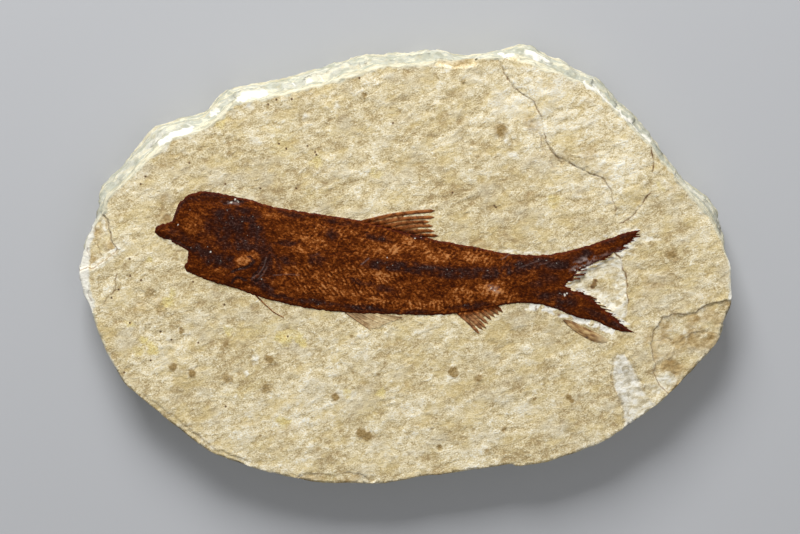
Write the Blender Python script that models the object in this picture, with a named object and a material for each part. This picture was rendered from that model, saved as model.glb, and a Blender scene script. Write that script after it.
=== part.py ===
"""A fossil fish slab: a small bony fish pressed flat in a hand-trimmed oval plate of pale limestone.

The plate lies on its back at z = 0. +X runs from the fish's head to its tail, +Y towards the fish's
back, +Z out of the face that shows the fish. The origin is the middle of the base. All sizes below
are millimetres, and the meshes are made in metres.
"""

import math

import bmesh
import bpy
from mathutils import Vector, noise

MM = 0.001

# The plate
FACE_Z = 9.0
UNDULATION = 0.16
UNDULATION_LENGTH = 9.0
GRAIN_RELIEF = 0.09
GRAIN_LENGTH = 3.6
GRID_COLUMNS = 38
GRID_ROWS = 26

# Widest line around the plate, clockwise from the left tip.
PLATE_OUTLINE = [
    (-61.3, -0.3), (-60.7, 2.6), (-59.9, 5.7), (-58.2, 9.8), (-57.2, 14.6), (-53.2, 18.6), (-49.5, 22.8),
    (-46.9, 25.8), (-42.7, 27.3), (-38.3, 28.8), (-33.6, 32.7), (-30.4, 33.6), (-24.4, 34.9), (-17.7, 36.6),
    (-12.0, 38.5), (-6.9, 39.7), (-1.8, 39.75), (5.7, 40.4), (10.0, 39.5), (16.0, 40.0), (20.6, 41.3),
    (22.8, 41.0), (28.2, 38.9), (31.1, 36.8), (34.8, 35.4), (39.4, 31.0), (43.5, 26.9), (46.8, 22.8),
    (51.1, 17.2), (56.4, 12.7), (59.1, 7.8), (60.0, 2.2), (60.4, -2.9), (60.7, -6.5), (59.2, -10.5),
    (57.9, -14.8), (52.9, -20.2), (47.2, -26.3), (41.0, -30.8), (36.2, -33.8), (29.1, -36.6), (21.5, -38.2),
    (20.3, -37.75), (16.1, -38.4), (10.4, -39.05), (4.6, -40.0),
    (-7.5, -41.6), (-19.9, -40.7), (-28.5, -38.5), (-36.3, -35.8), (-42.6, -31.1), (-49.2, -25.6),
    (-53.6, -21.4), (-57.0, -14.1), (-59.2, -7.7), (-60.8, -3.5),
]

# How far the face's edge, and the back's edge, stand in from the widest line: (degrees, mm).
FACE_INSET = [
    (0, 0.3), (4, 1.2), (8, 2.2), (13, 2.6), (17, 1.9), (21, 1.4), (26, 1.7), (32, 2.1), (44, 2.2),
    (50, 2.2), (56, 3.3), (61, 2.9), (65, 2.0), (69, 1.3), (74, 1.0), (80, 2.0), (86, 2.6), (95, 2.5),
    (103, 3.3), (143, 3.3), (148, 4.1), (153, 4.1), (158, 3.4), (163, 3.5), (168, 2.4), (174, 1.0),
    (190, 0.5), (230, 0.3), (300, 0.3),
]
BACK_INSET = [(0, 1.0), (40, 0.5), (90, 0.4), (150, 0.5), (190, 1.2), (230, 2.2), (270, 2.6), (320, 2.0)]

# Rings down the broken rim: height as a share of the thickness, share of the face's inset that is
# left there, share of the back's inset reached there, and depth of the chipping in mm.
RIM_LEVELS = [
    (0.965, 0.86, 0.00, 0.35),
    (0.79, 0.55, 0.10, 1.10),
    (0.75, 0.26, 0.16, 0.70),
    (0.45, 0.00, 0.42, 0.60),
    (0.12, 0.10, 0.86, 1.00),
    (0.00, 0.60, 1.25, 0.70),
]
FACE_EDGE_CHIPPING = 0.5
CHIP_LENGTH = 5.2

# Cracks and ledges of the face
CRACK_A = [
    (16.4, 39.4), (18.0, 36.0), (20.2, 33.0), (22.8, 31.2), (24.8, 27.4), (26.1, 22.7),
    (27.2, 21.1), (31.1, 19.0), (35.9, 16.9), (37.5, 14.7), (38.1, 12.4), (38.6, 10.0),
]
CRACK_A_SPUR = [(24.3, 25.3), (25.3, 22.0), (27.6, 18.4)]
CRACK_B = [(45.1, 23.3), (45.4, 19.4), (45.1, 14.7), (43.0, 11.7), (41.4, 9.4), (39.0, 8.3)]
CRACK_LEFT = [(-53.2, -0.3), (-53.4, -1.8), (-53.7, -3.5), (-55.2, -5.9), (-56.8, -7.6)]
STEP_SECTION = [(-0.55, 0.5), (0.0, -0.42), (0.15, 0.5)]
CRACK_SECTION = [(-0.45, 0.4), (0.0, -0.4), (0.35, 0.4)]
END_TAPER = 0.3
UPPER_LAMINA_RISE = 0.34
UPPER_LAMINA_RAMP = 2.4

# Flakes lost from the face: outline, depth under the face, and the floor's slope in degrees about X and Y.
FLAKES = {
    "lower_right_flake": ([
        (63.0, -5.0), (58.6, -6.1), (55.4, -7.0), (53.5, -8.3), (49.5, -8.5), (46.9, -10.4),
        (45.6, -13.6), (46.2, -17.9), (46.2, -19.9), (47.1, -22.0), (49.4, -24.0), (53.0, -27.0),
        (63.0, -18.0),
    ], 0.32, (0.0, 0.8)),
    "lower_right_inner_flake": ([
        (63.0, -8.0), (56.0, -11.6), (53.0, -12.2), (50.6, -13.9), (49.0, -17.2), (50.4, -21.0),
        (55.0, -24.0), (63.0, -16.0),
    ], 0.48, (0.0, 0.8)),
    "left_flake": ([
        (-55.9, 10.4), (-54.4, 8.5), (-54.2, 5.6), (-53.1, 3.6), (-55.2, 1.6), (-57.4, 0.0),
        (-63.0, -0.6), (-63.0, 10.0),
    ], 0.6, (0.0, -4.0)),
    "lower_left_lamina": ([
        (-48.8, -23.6), (-45.4, -26.4), (-42.1, -28.7), (-38.3, -32.2), (-35.7, -34.1),
        (-31.1, -35.9), (-29.0, -36.8), (-33.0, -41.0), (-44.0, -34.0), (-54.0, -26.0),
    ], 0.25, (0.0, 0.0)),
    "bottom_lamina": ([
        (-20.4, -39.6), (-18.6, -39.0), (-12.9, -39.2), (-11.4, -38.8), (-8.8, -38.9),
        (-6.9, -40.0), (-5.8, -43.0), (-21.0, -43.0),
    ], 0.25, (0.0, 0.0)),
    "top_chip": ([
        (5.1, 43.0), (5.4, 37.6), (9.1, 36.9), (13.0, 37.5), (13.7, 43.0),
    ], 0.9, (-6.0, 0.0)),
    "top_right_chip": ([
        (17.8, 43.0), (18.4, 38.9), (21.1, 38.0), (24.6, 38.0), (26.6, 39.0), (27.0, 43.0),
    ], 1.2, (-8.0, 0.0)),
    "grey_bruise": ([
        (39.4, -15.8), (40.8, -15.9), (43.2, -19.9), (44.9, -24.1), (47.4, -27.6), (41.0, -32.4),
        (39.7, -24.8), (38.4, -21.8), (38.3, -17.5),
    ], 0.2, (0.3, 0.2)),
}

# Flakes lost from the back: outline and depth.
BACK_FLAKES = {
    "back_flake_right": ([
        (44.0, 30.0), (41.0, 18.0), (46.5, 6.0), (52.0, -3.0), (64.0, -6.0), (64.0, 30.0),
    ], 0.7),
    "back_flake_left": ([
        (-64.0, 8.0), (-50.0, 6.0), (-46.0, -4.0), (-49.5, -15.0), (-43.0, -26.0), (-64.0, -26.0),
    ], 0.9),
    "back_flake_top": ([(-22.0, 44.0), (-19.0, 32.6), (-8.0, 30.4), (3.0, 33.8), (7.0, 44.0)], 0.5),
}

# Hollow scraped out in the fork of the tail: centre and half sizes.
FORK_HOLLOW = (35.6, -2.9)
FORK_HOLLOW_SIZE = (5.6, 5.8, 0.55)

# The fish
FISH_UNDERSIDE = -0.8
POCKET_FLOOR = -1.1
POCKET_GAP = 0.3
EDGE_RISE = 0.2
CROWN_RISE = 0.42
CROWN_WIDTH = 2.6
SPINE_RISE = 0.16
SPINE_WIDTH = 1.8
VERTEBRA_PITCH = 1.6
RIB_RELIEF = 0.13
RIB_SLANT = 0.55
FISH_ROW_STEP = 2.4
FISH_ROWS = 10

SNOUT = [(-40.8, 0.3), (-40.0, 2.9), (-42.7, 4.8), (-45.6, 6.4), (-46.0, 7.2), (-44.3, 8.3), (-42.7, 9.3)]
FISH_BACK = [
    (-42.3, 10.6), (-40.5, 13.2), (-37.0, 14.3), (-32.0, 13.6), (-27.7, 12.6), (-24.1, 11.5),
    (-15.0, 10.0), (-7.8, 8.8), (5.4, 5.4), (12.8, 4.0), (18.2, 2.9), (25.3, 2.5), (31.1, 3.6),
    (35.9, 5.1), (40.8, 6.8), (43.2, 7.2),
]
TAIL_FORK = [
    (42.3, 6.5), (41.8, 5.3), (40.1, 4.6), (39.4, 3.6), (37.7, 2.7), (37.0, 1.8), (35.5, 1.0),
    (34.6, -0.1), (32.5, -0.1), (31.2, -1.4), (31.1, -2.3), (29.4, -2.7), (29.4, -3.7),
    (31.6, -4.6), (32.9, -5.5), (34.9, -5.5), (35.5, -6.5), (35.9, -7.6), (37.3, -8.0),
    (39.0, -8.5), (39.2, -9.5), (40.3, -10.2), (41.2, -10.8),
]
FISH_BELLY = [
    (42.5, -12.1), (39.2, -11.7), (35.3, -10.0), (31.6, -9.1), (26.1, -7.0), (20.6, -6.5),
    (13.5, -7.8), (6.4, -8.7), (-6.0, -8.5), (-15.8, -7.8), (-25.0, -5.9), (-31.2, -3.8),
    (-35.7, -2.5), (-40.4, -0.6),
]

# Middle of the body, from snout to tail.
MIDLINE = [
    (-47.0, 7.2), (-38.0, 6.0), (-32.0, 4.6), (-20.0, 2.2), (-8.0, 0.0), (4.0, -1.6),
    (12.0, -2.0), (20.0, -1.9), (29.0, -3.0), (44.0, -2.6),
]
SPINE_START = -24.0
SPINE_END = 29.0

# Skull bones: (x, y, half length, half height, rise).
SKULL_BONES = [
    (-37.4, 9.2, 4.2, 3.8, 0.22), (-36.2, 3.0, 3.4, 2.6, 0.14), (-28.6, 1.6, 3.4, 4.2, 0.26),
    (-43.6, 6.4, 2.2, 1.0, 0.12), (-31.0, 9.4, 4.0, 2.6, 0.12), (-31.5, -2.2, 4.6, 1.1, 0.14),
]

# Fins: root on the body from front to rear, ray tips from front to rear.
FIN_RISE = 0.10
RAY_RISE = 0.30
RAY_WIDTH = 0.42
RAY_TAPER = 0.5
TAIL_RAY_RISE = 0.62
NOTCH = 0.82
FINS = {
    "dorsal_fin": ([(-7.4, 8.0), (5.6, 4.6)], [
        (5.4, 10.8), (5.3, 9.9), (4.6, 8.9), (5.1, 7.9), (5.4, 7.0), (6.0, 6.1), (6.9, 5.4),
    ]),
    "anal_fin": ([(10.6, -8.0), (17.6, -6.8)], [
        (13.7, -12.3), (14.4, -11.4), (15.1, -10.9), (15.7, -10.0), (16.6, -9.4), (18.0, -8.5),
    ]),
    "pelvic_fin": ([(-11.0, -7.6), (-4.6, -8.0)], [
        (-6.2, -11.5), (-4.9, -10.8), (-3.4, -10.1), (-1.6, -9.2),
    ]),
}
TAIL_RAYS = {
    "upper_tail_rays": ([(24.6, 1.5), (25.8, -1.9)], [
        (41.9, 6.5), (38.6, 4.3), (34.4, 1.0),
    ]),
    "lower_tail_rays": ([(24.6, -5.9), (25.8, -3.0)], [
        (41.0, -11.4), (37.4, -9.2), (33.4, -6.1),
    ]),
}
PECTORAL_RAY = [(-29.0, -3.6), (-27.2, -5.5), (-25.7, -7.0), (-24.2, -8.3), (-22.5, -9.2)]
PECTORAL_RADIUS = 0.28

# The loose fragment under the tail
FRAGMENT = [
    (29.2, -9.8), (30.4, -9.7), (32.5, -10.7), (35.1, -12.0), (37.0, -13.0), (37.4, -13.8),
    (35.7, -14.0), (33.6, -13.2), (31.2, -11.7),
]
FRAGMENT_RISE = 0.12

# Joins and cuts whose faces nearly meet others, where the exact solver leaves a slit.
CLOSE_MEETINGS = {"dorsal_fin_rays"}

LIMESTONE = (0.62, 0.53, 0.33)
FOSSIL_BONE = (0.12, 0.036, 0.012)
FRAGMENT_TAN = (0.42, 0.30, 0.16)


# ---------------------------------------------------------------- outlines

def smooth_line(points, closed, per_span=3):
    """Catmull-Rom line through the points."""
    count = len(points)
    spans = count if closed else count - 1
    line = []
    for i in range(spans):
        before, start, end, after = (
            Vector(points[k % count] if closed else points[min(max(k, 0), count - 1)])
            for k in (i - 1, i, i + 1, i + 2)
        )
        for step in range(per_span):
            t = step / per_span
            line.append(0.5 * (
                2 * start + (end - before) * t
                + (2 * before - 5 * start + 4 * end - after) * t * t
                + (3 * start - before - 3 * end + after) * t ** 3
            ))
    if not closed:
        line.append(Vector(points[-1]))
    return line


def spread_outline(points, distance):
    """The closed outline with every corner moved outwards by the distance."""
    count = len(points)
    area = sum(points[i - 1].x * points[i].y - points[i].x * points[i - 1].y for i in range(count))
    outward = 1.0 if area > 0 else -1.0
    spread = []
    for i, point in enumerate(points):
        arriving = (point - points[i - 1]).normalized()
        leaving = (points[(i + 1) % count] - point).normalized()
        middle = arriving + leaving
        if middle.length < 0.3:
            middle = arriving
        middle.normalize()
        normal = Vector((middle.y, -middle.x)) * outward
        lean = max(0.6, normal.dot(Vector((arriving.y, -arriving.x)) * outward))
        spread.append(point + normal * distance / lean)
    return spread


def value_at(table, key):
    """Linear reading of a (key, value) table."""
    if key <= table[0][0]:
        return table[0][1]
    for (key_a, value_a), (key_b, value_b) in zip(table, table[1:]):
        if key <= key_b:
            return value_a + (value_b - value_a) * (key - key_a) / (key_b - key_a)
    return table[-1][1]


def around(table, degrees):
    """Eased reading of a table that repeats every 360 degrees."""
    closed = table + [(table[0][0] + 360, table[0][1])]
    for (key_a, value_a), (key_b, value_b) in zip(closed, closed[1:]):
        if degrees <= key_b:
            t = (degrees - key_a) / (key_b - key_a)
            return value_a + (value_b - value_a) * t * t * (3 - 2 * t)
    return table[0][1]


def radius_table(outline):
    """(degrees, radius) pairs of an outline that its centre sees all round."""
    polar = sorted((math.degrees(math.atan2(p.y, p.x)) % 360, p.length) for p in outline)
    first, last = polar[0], polar[-1]
    return [(last[0] - 360, last[1])] + polar + [(first[0] + 360, first[1])]


PLATE_RADIUS = radius_table(smooth_line(PLATE_OUTLINE, closed=True))


def distance_to(point, outline):
    """Shortest distance from a point to a closed outline."""
    best = math.inf
    for i, end in enumerate(outline):
        start = outline[i - 1]
        along = end - start
        t = max(0.0, min(1.0, (point - start).dot(along) / along.length_squared))
        best = min(best, (point - start - along * t).length)
    return best


# ---------------------------------------------------------------- scene and materials

def clear_scene():
    for obj in list(bpy.data.objects):
        bpy.data.objects.remove(obj, do_unlink=True)


def new_collection(name, is_helper=False):
    collection = bpy.data.collections.new(name)
    bpy.context.scene.collection.children.link(collection)
    collection.hide_render = is_helper
    return collection


def principled(name, colour, roughness):
    material = bpy.data.materials.new(name)
    material.use_nodes = True
    shader = material.node_tree.nodes["Principled BSDF"]
    shader.inputs["Base Color"].default_value = (*colour, 1.0)
    shader.inputs["Roughness"].default_value = roughness
    shader.inputs["Metallic"].default_value = 0.0
    material.diffuse_color = (*colour, 1.0)
    return material


def new_object(name, mesh, collection):
    obj = bpy.data.objects.new(name, mesh)
    collection.objects.link(obj)
    return obj


def finish_mesh(bm, name, collection):
    """Scales a bmesh made in millimetres to metres and makes an object of it."""
    bmesh.ops.recalc_face_normals(bm, faces=bm.faces)
    bmesh.ops.scale(bm, vec=(MM, MM, MM), verts=bm.verts)
    mesh = bpy.data.meshes.new(name)
    bm.to_mesh(mesh)
    bm.free()
    return new_object(name, mesh, collection)


def make_helper(obj):
    obj.hide_render = True
    obj.display_type = "WIRE"
    return obj


def combine(obj, other, operation):
    modifier = obj.modifiers.new(f"{operation.lower()}_{other.name}", "BOOLEAN")
    modifier.operation = operation
    modifier.object = other
    modifier.solver = "MANIFOLD" if other.name in CLOSE_MEETINGS else "EXACT"


# ---------------------------------------------------------------- basic solids

def prism(name, outline, low, high, collection):
    """A flat-sided solid over an outline, from a filled 2D curve."""
    curve = bpy.data.curves.new(name, "CURVE")
    curve.dimensions = "2D"
    curve.fill_mode = "BOTH"
    curve.extrude = (high - low) / 2 * MM
    spline = curve.splines.new("POLY")
    spline.points.add(len(outline) - 1)
    for point, corner in zip(spline.points, outline):
        point.co = (corner[0] * MM, corner[1] * MM, 0.0, 1.0)
    spline.use_cyclic_u = True
    source = new_object(name + "_curve", curve, collection)
    source.location.z = (low + high) / 2 * MM
    bpy.context.view_layer.update()
    mesh = bpy.data.meshes.new_from_object(source.evaluated_get(bpy.context.evaluated_depsgraph_get()))
    bm = bmesh.new()
    bm.from_mesh(mesh)
    bmesh.ops.remove_doubles(bm, verts=bm.verts, dist=1e-6)
    bmesh.ops.recalc_face_normals(bm, faces=bm.faces)
    bm.to_mesh(mesh)
    bm.free()
    solid = new_object(name, mesh, collection)
    solid.matrix_world = source.matrix_world
    bpy.data.objects.remove(source, do_unlink=True)
    return solid


def swept_cutter(name, path, section, collection):
    """A section carried along a line on the face, tapering to both ends."""
    bm = bmesh.new()
    line = [Vector(point) for point in path]
    rings = []
    for i, point in enumerate(line):
        ahead = (line[min(i + 1, len(line) - 1)] - line[max(i - 1, 0)]).normalized()
        across = Vector((ahead.y, -ahead.x))
        taper = 1.0 if 0 < i < len(line) - 1 else END_TAPER
        surface = face_height(point.x, point.y)
        rings.append([
            bm.verts.new((*(point + across * side * taper), surface + up * taper))
            for side, up in section
        ])
    for ring, next_ring in zip(rings, rings[1:]):
        for i in range(len(section)):
            bm.faces.new((ring[i - 1], ring[i], next_ring[i], next_ring[i - 1]))
    bm.faces.new(rings[0])
    bm.faces.new(rings[-1])
    return make_helper(finish_mesh(bm, name, collection))


# ---------------------------------------------------------------- the plate

def crack_a_x(y):
    return value_at(sorted((p[1], p[0]) for p in CRACK_A), y)


def face_height(x, y):
    """Height of the cleaved face: slow waves, coarse grain and the lamina raised beyond crack A."""
    slow = noise.noise(Vector((x, y, 0.0)) / UNDULATION_LENGTH)
    grain = noise.noise(Vector((x, y, 40.0)) / GRAIN_LENGTH)
    lamina_end = CRACK_A[-1][1]
    past_crack = min(1.0, max(0.0, (x - crack_a_x(y)) / UPPER_LAMINA_RAMP))
    above_end = min(1.0, max(0.0, (y - lamina_end) / 4.0))
    rise = UPPER_LAMINA_RISE * past_crack * above_end
    return FACE_Z + UNDULATION * slow + GRAIN_RELIEF * grain + rise


def disc_place(u, v):
    """Moves a point of the square from -1 to 1 to the unit disc."""
    return u * math.sqrt(1 - v * v / 2), v * math.sqrt(1 - u * u / 2)


def rim_point(degrees, face_share, back_share, chipping, level):
    """A point on one ring of the rim."""
    turn = math.radians(degrees)
    reach = value_at(PLATE_RADIUS, degrees)
    place = Vector((math.cos(turn), math.sin(turn), 0.0)) * reach / CHIP_LENGTH
    place.z = level * 0.37
    scallop = 1.0 - min(1.0, noise.voronoi(place)[0][0])
    chip = chipping * scallop
    reach -= around(FACE_INSET, degrees) * face_share + around(BACK_INSET, degrees) * back_share + chip
    return math.cos(turn) * reach, math.sin(turn) * reach


def make_plate(collection):
    bm = bmesh.new()
    bmesh.ops.create_grid(bm, x_segments=GRID_COLUMNS, y_segments=GRID_ROWS, size=1.0)
    ring_angles = {}
    for vert in bm.verts:
        u, v = disc_place(vert.co.x, vert.co.y)
        share = math.hypot(u, v)
        degrees = math.degrees(math.atan2(v, u)) % 360
        x, y = rim_point(degrees, 1.0, 0.0, FACE_EDGE_CHIPPING, 0)
        vert.co = (x * share, y * share, 0.0)
        if vert.is_boundary:
            ring_angles[vert] = degrees
    for vert in bm.verts:
        vert.co.z = face_height(vert.co.x, vert.co.y)
    ring = [edge for edge in bm.edges if edge.is_boundary]
    for level, (height, face_share, back_share, chipping) in enumerate(RIM_LEVELS, start=1):
        made = bmesh.ops.extrude_edge_only(bm, edges=ring)["geom"]
        ring = [part for part in made if isinstance(part, bmesh.types.BMEdge)]
        new_angles = {}
        for vert in (part for part in made if isinstance(part, bmesh.types.BMVert)):
            above = next(v for edge in vert.link_edges for v in edge.verts if v in ring_angles)
            degrees = ring_angles[above]
            x, y = rim_point(degrees, face_share, back_share, chipping, level)
            vert.co = (x, y, FACE_Z * height)
            new_angles[vert] = degrees
        ring_angles = new_angles
    bmesh.ops.contextual_create(bm, geom=ring)
    centre_on_origin(bm)
    return finish_mesh(bm, "slab", collection)


def centre_on_origin(bm):
    xs = [vert.co.x for vert in bm.verts]
    ys = [vert.co.y for vert in bm.verts]
    shift = Vector((-(min(xs) + max(xs)) / 2, -(min(ys) + max(ys)) / 2, 0.0))
    bmesh.ops.translate(bm, vec=shift, verts=bm.verts)


def tilted_flake(name, outline, depth, slopes, helpers):
    """A cutter over an outline, whose floor slopes about the outline's own middle."""
    middle = sum((Vector(corner) for corner in outline), Vector((0.0, 0.0))) / len(outline)
    local = [Vector(corner) - middle for corner in outline]
    cutter = prism(name, local, 0.0, 4.0, helpers)
    cutter.location = (middle.x * MM, middle.y * MM, (FACE_Z - depth) * MM + cutter.location.z)
    cutter.rotation_euler = tuple(math.radians(slope) for slope in slopes) + (0.0,)
    return make_helper(cutter)


def plate_cutters(helpers):
    """Every crack, flake and hollow of the plate, as cutters."""
    cutters = [
        swept_cutter("crack_a", CRACK_A, STEP_SECTION, helpers),
        swept_cutter("crack_a_spur", CRACK_A_SPUR, CRACK_SECTION, helpers),
        swept_cutter("crack_b", CRACK_B, CRACK_SECTION, helpers),
        swept_cutter("crack_left", CRACK_LEFT, CRACK_SECTION, helpers),
        fork_hollow(helpers),
    ]
    for name, (outline, depth, slopes) in FLAKES.items():
        cutters.append(tilted_flake(name, outline, depth, slopes, helpers))
    for name, (outline, depth) in BACK_FLAKES.items():
        cutters.append(make_helper(prism(name, outline, -2.0, depth, helpers)))
    return cutters


def fork_hollow(helpers):
    bm = bmesh.new()
    bmesh.ops.create_uvsphere(bm, u_segments=20, v_segments=8, radius=1.0)
    bmesh.ops.scale(bm, vec=FORK_HOLLOW_SIZE, verts=bm.verts)
    bmesh.ops.translate(bm, vec=(*FORK_HOLLOW, FACE_Z + 0.05), verts=bm.verts)
    return make_helper(finish_mesh(bm, "fork_hollow", helpers))


# ---------------------------------------------------------------- the fish

def fish_outline():
    head = smooth_line(SNOUT, closed=False, per_span=2)
    back = smooth_line(FISH_BACK, closed=False)
    fork = [Vector(point) for point in TAIL_FORK]
    belly = smooth_line(FISH_BELLY, closed=False)
    return head + back + fork + belly


def fish_relief(x, y, across, column, outline):
    """Height of the fish's top: a low pillow with backbone, ribs and skull bones."""
    inward = distance_to(Vector((x, y)), outline)
    rise = EDGE_RISE + CROWN_RISE * (1 - math.exp(-inward / CROWN_WIDTH))
    if SPINE_START < x < SPINE_END:
        ridge = 1.0 if column % 2 else 0.0
        rise += RIB_RELIEF * ridge
        rise += SPINE_RISE * math.exp(-(across / SPINE_WIDTH) ** 2)
    for bone_x, bone_y, half_length, half_height, bone_rise in SKULL_BONES:
        spread = ((x - bone_x) / half_length) ** 2 + ((y - bone_y) / half_height) ** 2
        rise += bone_rise * max(0.0, 1.0 - spread) ** 0.5
    return rise


def make_fish_block(outline, collection):
    """A block whose top carries the relief, with its columns slanted along the ribs."""
    step = VERTEBRA_PITCH / 2
    low_x, high_x = MIDLINE[0][0], MIDLINE[-1][0]
    columns = round((high_x - low_x) / step)
    bm = bmesh.new()
    bmesh.ops.create_grid(bm, x_segments=columns, y_segments=FISH_ROWS, size=0.5)
    for vert in bm.verts:
        column = round((vert.co.x + 0.5) * columns)
        across = vert.co.y * FISH_ROWS * FISH_ROW_STEP
        along = low_x + column * step
        x = along + abs(across) * RIB_SLANT * min(1.0, max(0.0, (along - SPINE_START) / 10))
        y = value_at(MIDLINE, along) + across
        vert.co = (x, y, FACE_Z + fish_relief(x, y, across, column, outline))
    base = bmesh.ops.extrude_face_region(bm, geom=bm.faces[:], use_keep_orig=True)["geom"]
    for part in base:
        if isinstance(part, bmesh.types.BMVert):
            part.co.z = FACE_Z + FISH_UNDERSIDE
    bmesh.ops.dissolve_faces(bm, faces=[part for part in base if isinstance(part, bmesh.types.BMFace)])
    return finish_mesh(bm, "fish", collection)


def fin_lines(root, tips):
    """(root point, tip) of each ray, the roots evenly spaced."""
    front, rear = Vector(root[0]), Vector(root[1])
    return [(front.lerp(rear, i / (len(tips) - 1)), Vector(tip)) for i, tip in enumerate(tips)]


def make_rays(name, lines, ray_rise, helpers):
    """Tapered wedges, each from its root to its tip."""
    bm = bmesh.new()
    for root, tip in lines:
        along = (tip - root).normalized()
        across = Vector((-along.y, along.x))
        verts = bmesh.ops.create_cube(bm, size=1.0)["verts"]
        for vert in verts:
            at_tip = vert.co.x > 0
            is_top = vert.co.z > 0
            end = tip if at_tip else root
            width = RAY_WIDTH * (RAY_TAPER if at_tip else 1.0) * (0.55 if is_top else 1.0)
            rise = ray_rise * (RAY_TAPER if at_tip else 1.0)
            place = end + across * width * vert.co.y
            vert.co = (place.x, place.y, FACE_Z + (rise if is_top else FISH_UNDERSIDE + 0.25))
    return make_helper(finish_mesh(bm, name, helpers))


def make_web(name, lines, helpers):
    """The thin film between a fin's rays, notched along its free edge."""
    tips = []
    for (root, tip), (next_root, next_tip) in zip(lines, lines[1:]):
        tips.append(root.lerp(tip, 0.97))
        tips.append(((root + next_root) / 2).lerp((tip + next_tip) / 2, NOTCH))
    tips.append(lines[-1][0].lerp(lines[-1][1], 0.97))
    outline = [lines[0][0]] + tips + [lines[-1][0]]
    return make_helper(prism(name, outline, FACE_Z + FISH_UNDERSIDE + 0.1, FACE_Z + FIN_RISE, helpers))


def make_pectoral(helpers):
    """The one pectoral ray, a thin bent rod half sunk in the stone."""
    curve = bpy.data.curves.new("pectoral_ray", "CURVE")
    curve.dimensions = "3D"
    curve.bevel_depth = PECTORAL_RADIUS * MM
    curve.bevel_resolution = 1
    curve.use_fill_caps = True
    spline = curve.splines.new("POLY")
    spline.points.add(len(PECTORAL_RAY) - 1)
    for point, (x, y) in zip(spline.points, PECTORAL_RAY):
        point.co = (x * MM, y * MM, FACE_Z * MM, 1.0)
    source = new_object("pectoral_curve", curve, helpers)
    bpy.context.view_layer.update()
    mesh = bpy.data.meshes.new_from_object(source.evaluated_get(bpy.context.evaluated_depsgraph_get()))
    bpy.data.objects.remove(source, do_unlink=True)
    bm = bmesh.new()
    bm.from_mesh(mesh)
    bmesh.ops.remove_doubles(bm, verts=bm.verts, dist=1e-6)
    bmesh.ops.recalc_face_normals(bm, faces=bm.faces)
    bm.to_mesh(mesh)
    bm.free()
    return make_helper(new_object("pectoral_ray", mesh, helpers))


def pocket(name, outline, helpers):
    """Room for a piece of the fossil, with a hair's gap all round."""
    spread = spread_outline(outline, POCKET_GAP)
    return make_helper(prism(name + "_pocket", spread, FACE_Z + POCKET_FLOOR, FACE_Z + 3.0, helpers))


def fish_pieces(helpers):
    """The fins and rays that are joined to the fish's body."""
    pieces = []
    for name, (root, tips) in FINS.items():
        lines = fin_lines(root, tips)
        pieces.append(make_web(name, lines, helpers))
        pieces.append(make_rays(name + "_rays", lines, RAY_RISE, helpers))
    for name, (root, tips) in TAIL_RAYS.items():
        pieces.append(make_rays(name, fin_lines(root, tips), TAIL_RAY_RISE, helpers))
    pieces.append(make_pectoral(helpers))
    return pieces


def fish_pockets(outline, helpers):
    """Room in the stone for the body, for each fin and for the pectoral ray."""
    pockets = [pocket("fish", outline, helpers)]
    for name, (root, tips) in FINS.items():
        lines = fin_lines(root, tips)
        corners = [lines[0][0]] + [tip for _, tip in lines] + [lines[-1][0]]
        pockets.append(pocket(name, corners, helpers))
    ray = [Vector(point) for point in PECTORAL_RAY]
    side = Vector((0.55, 0.75)) * PECTORAL_RADIUS
    around_ray = [point + side for point in ray] + [point - side for point in reversed(ray)]
    pockets.append(pocket("pectoral", around_ray, helpers))
    return pockets


def dress(obj, material, sharp_degrees):
    obj.data.materials.clear()
    obj.data.materials.append(material)
    obj.data.shade_smooth()
    obj.data.set_sharp_from_angle(angle=math.radians(sharp_degrees))


def main():
    clear_scene()
    parts = new_collection("fossil_fish_slab")
    helpers = new_collection("cutters", is_helper=True)
    outline = fish_outline()
    fragment_outline = smooth_line(FRAGMENT, closed=True, per_span=2)

    slab = make_plate(parts)
    fish = make_fish_block(outline, parts)
    fragment = prism("fin_fragment", fragment_outline, FACE_Z + FISH_UNDERSIDE, FACE_Z + FRAGMENT_RISE, parts)
    cutters = plate_cutters(helpers) + fish_pockets(outline, helpers)
    cutters.append(pocket("fragment", fragment_outline, helpers))
    pieces = fish_pieces(helpers)
    trim = make_helper(prism("fish_trim", outline, FACE_Z - 3.0, FACE_Z + 3.0, helpers))

    combine(fish, trim, "INTERSECT")
    for piece in pieces:
        combine(fish, piece, "UNION")
    for cutter in cutters:
        combine(slab, cutter, "DIFFERENCE")

    dress(slab, principled("limestone", LIMESTONE, 0.9), 30)
    dress(fish, principled("fossil_bone", FOSSIL_BONE, 0.45), 40)
    dress(fragment, principled("fragment_tan", FRAGMENT_TAN, 0.6), 40)


main()
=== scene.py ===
"""Fossil fish on an oval limestone plate: the plate with its broken rim, the fish and a fin fragment.

Lengths are in millimetres and angles in degrees; the scene itself is in metres. Wavelengths and seeds of
the noise stand where they are used.
"""
import math

import bpy
import numpy as np
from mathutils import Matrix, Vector, noise
from mathutils.geometry import delaunay_2d_cdt


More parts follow.
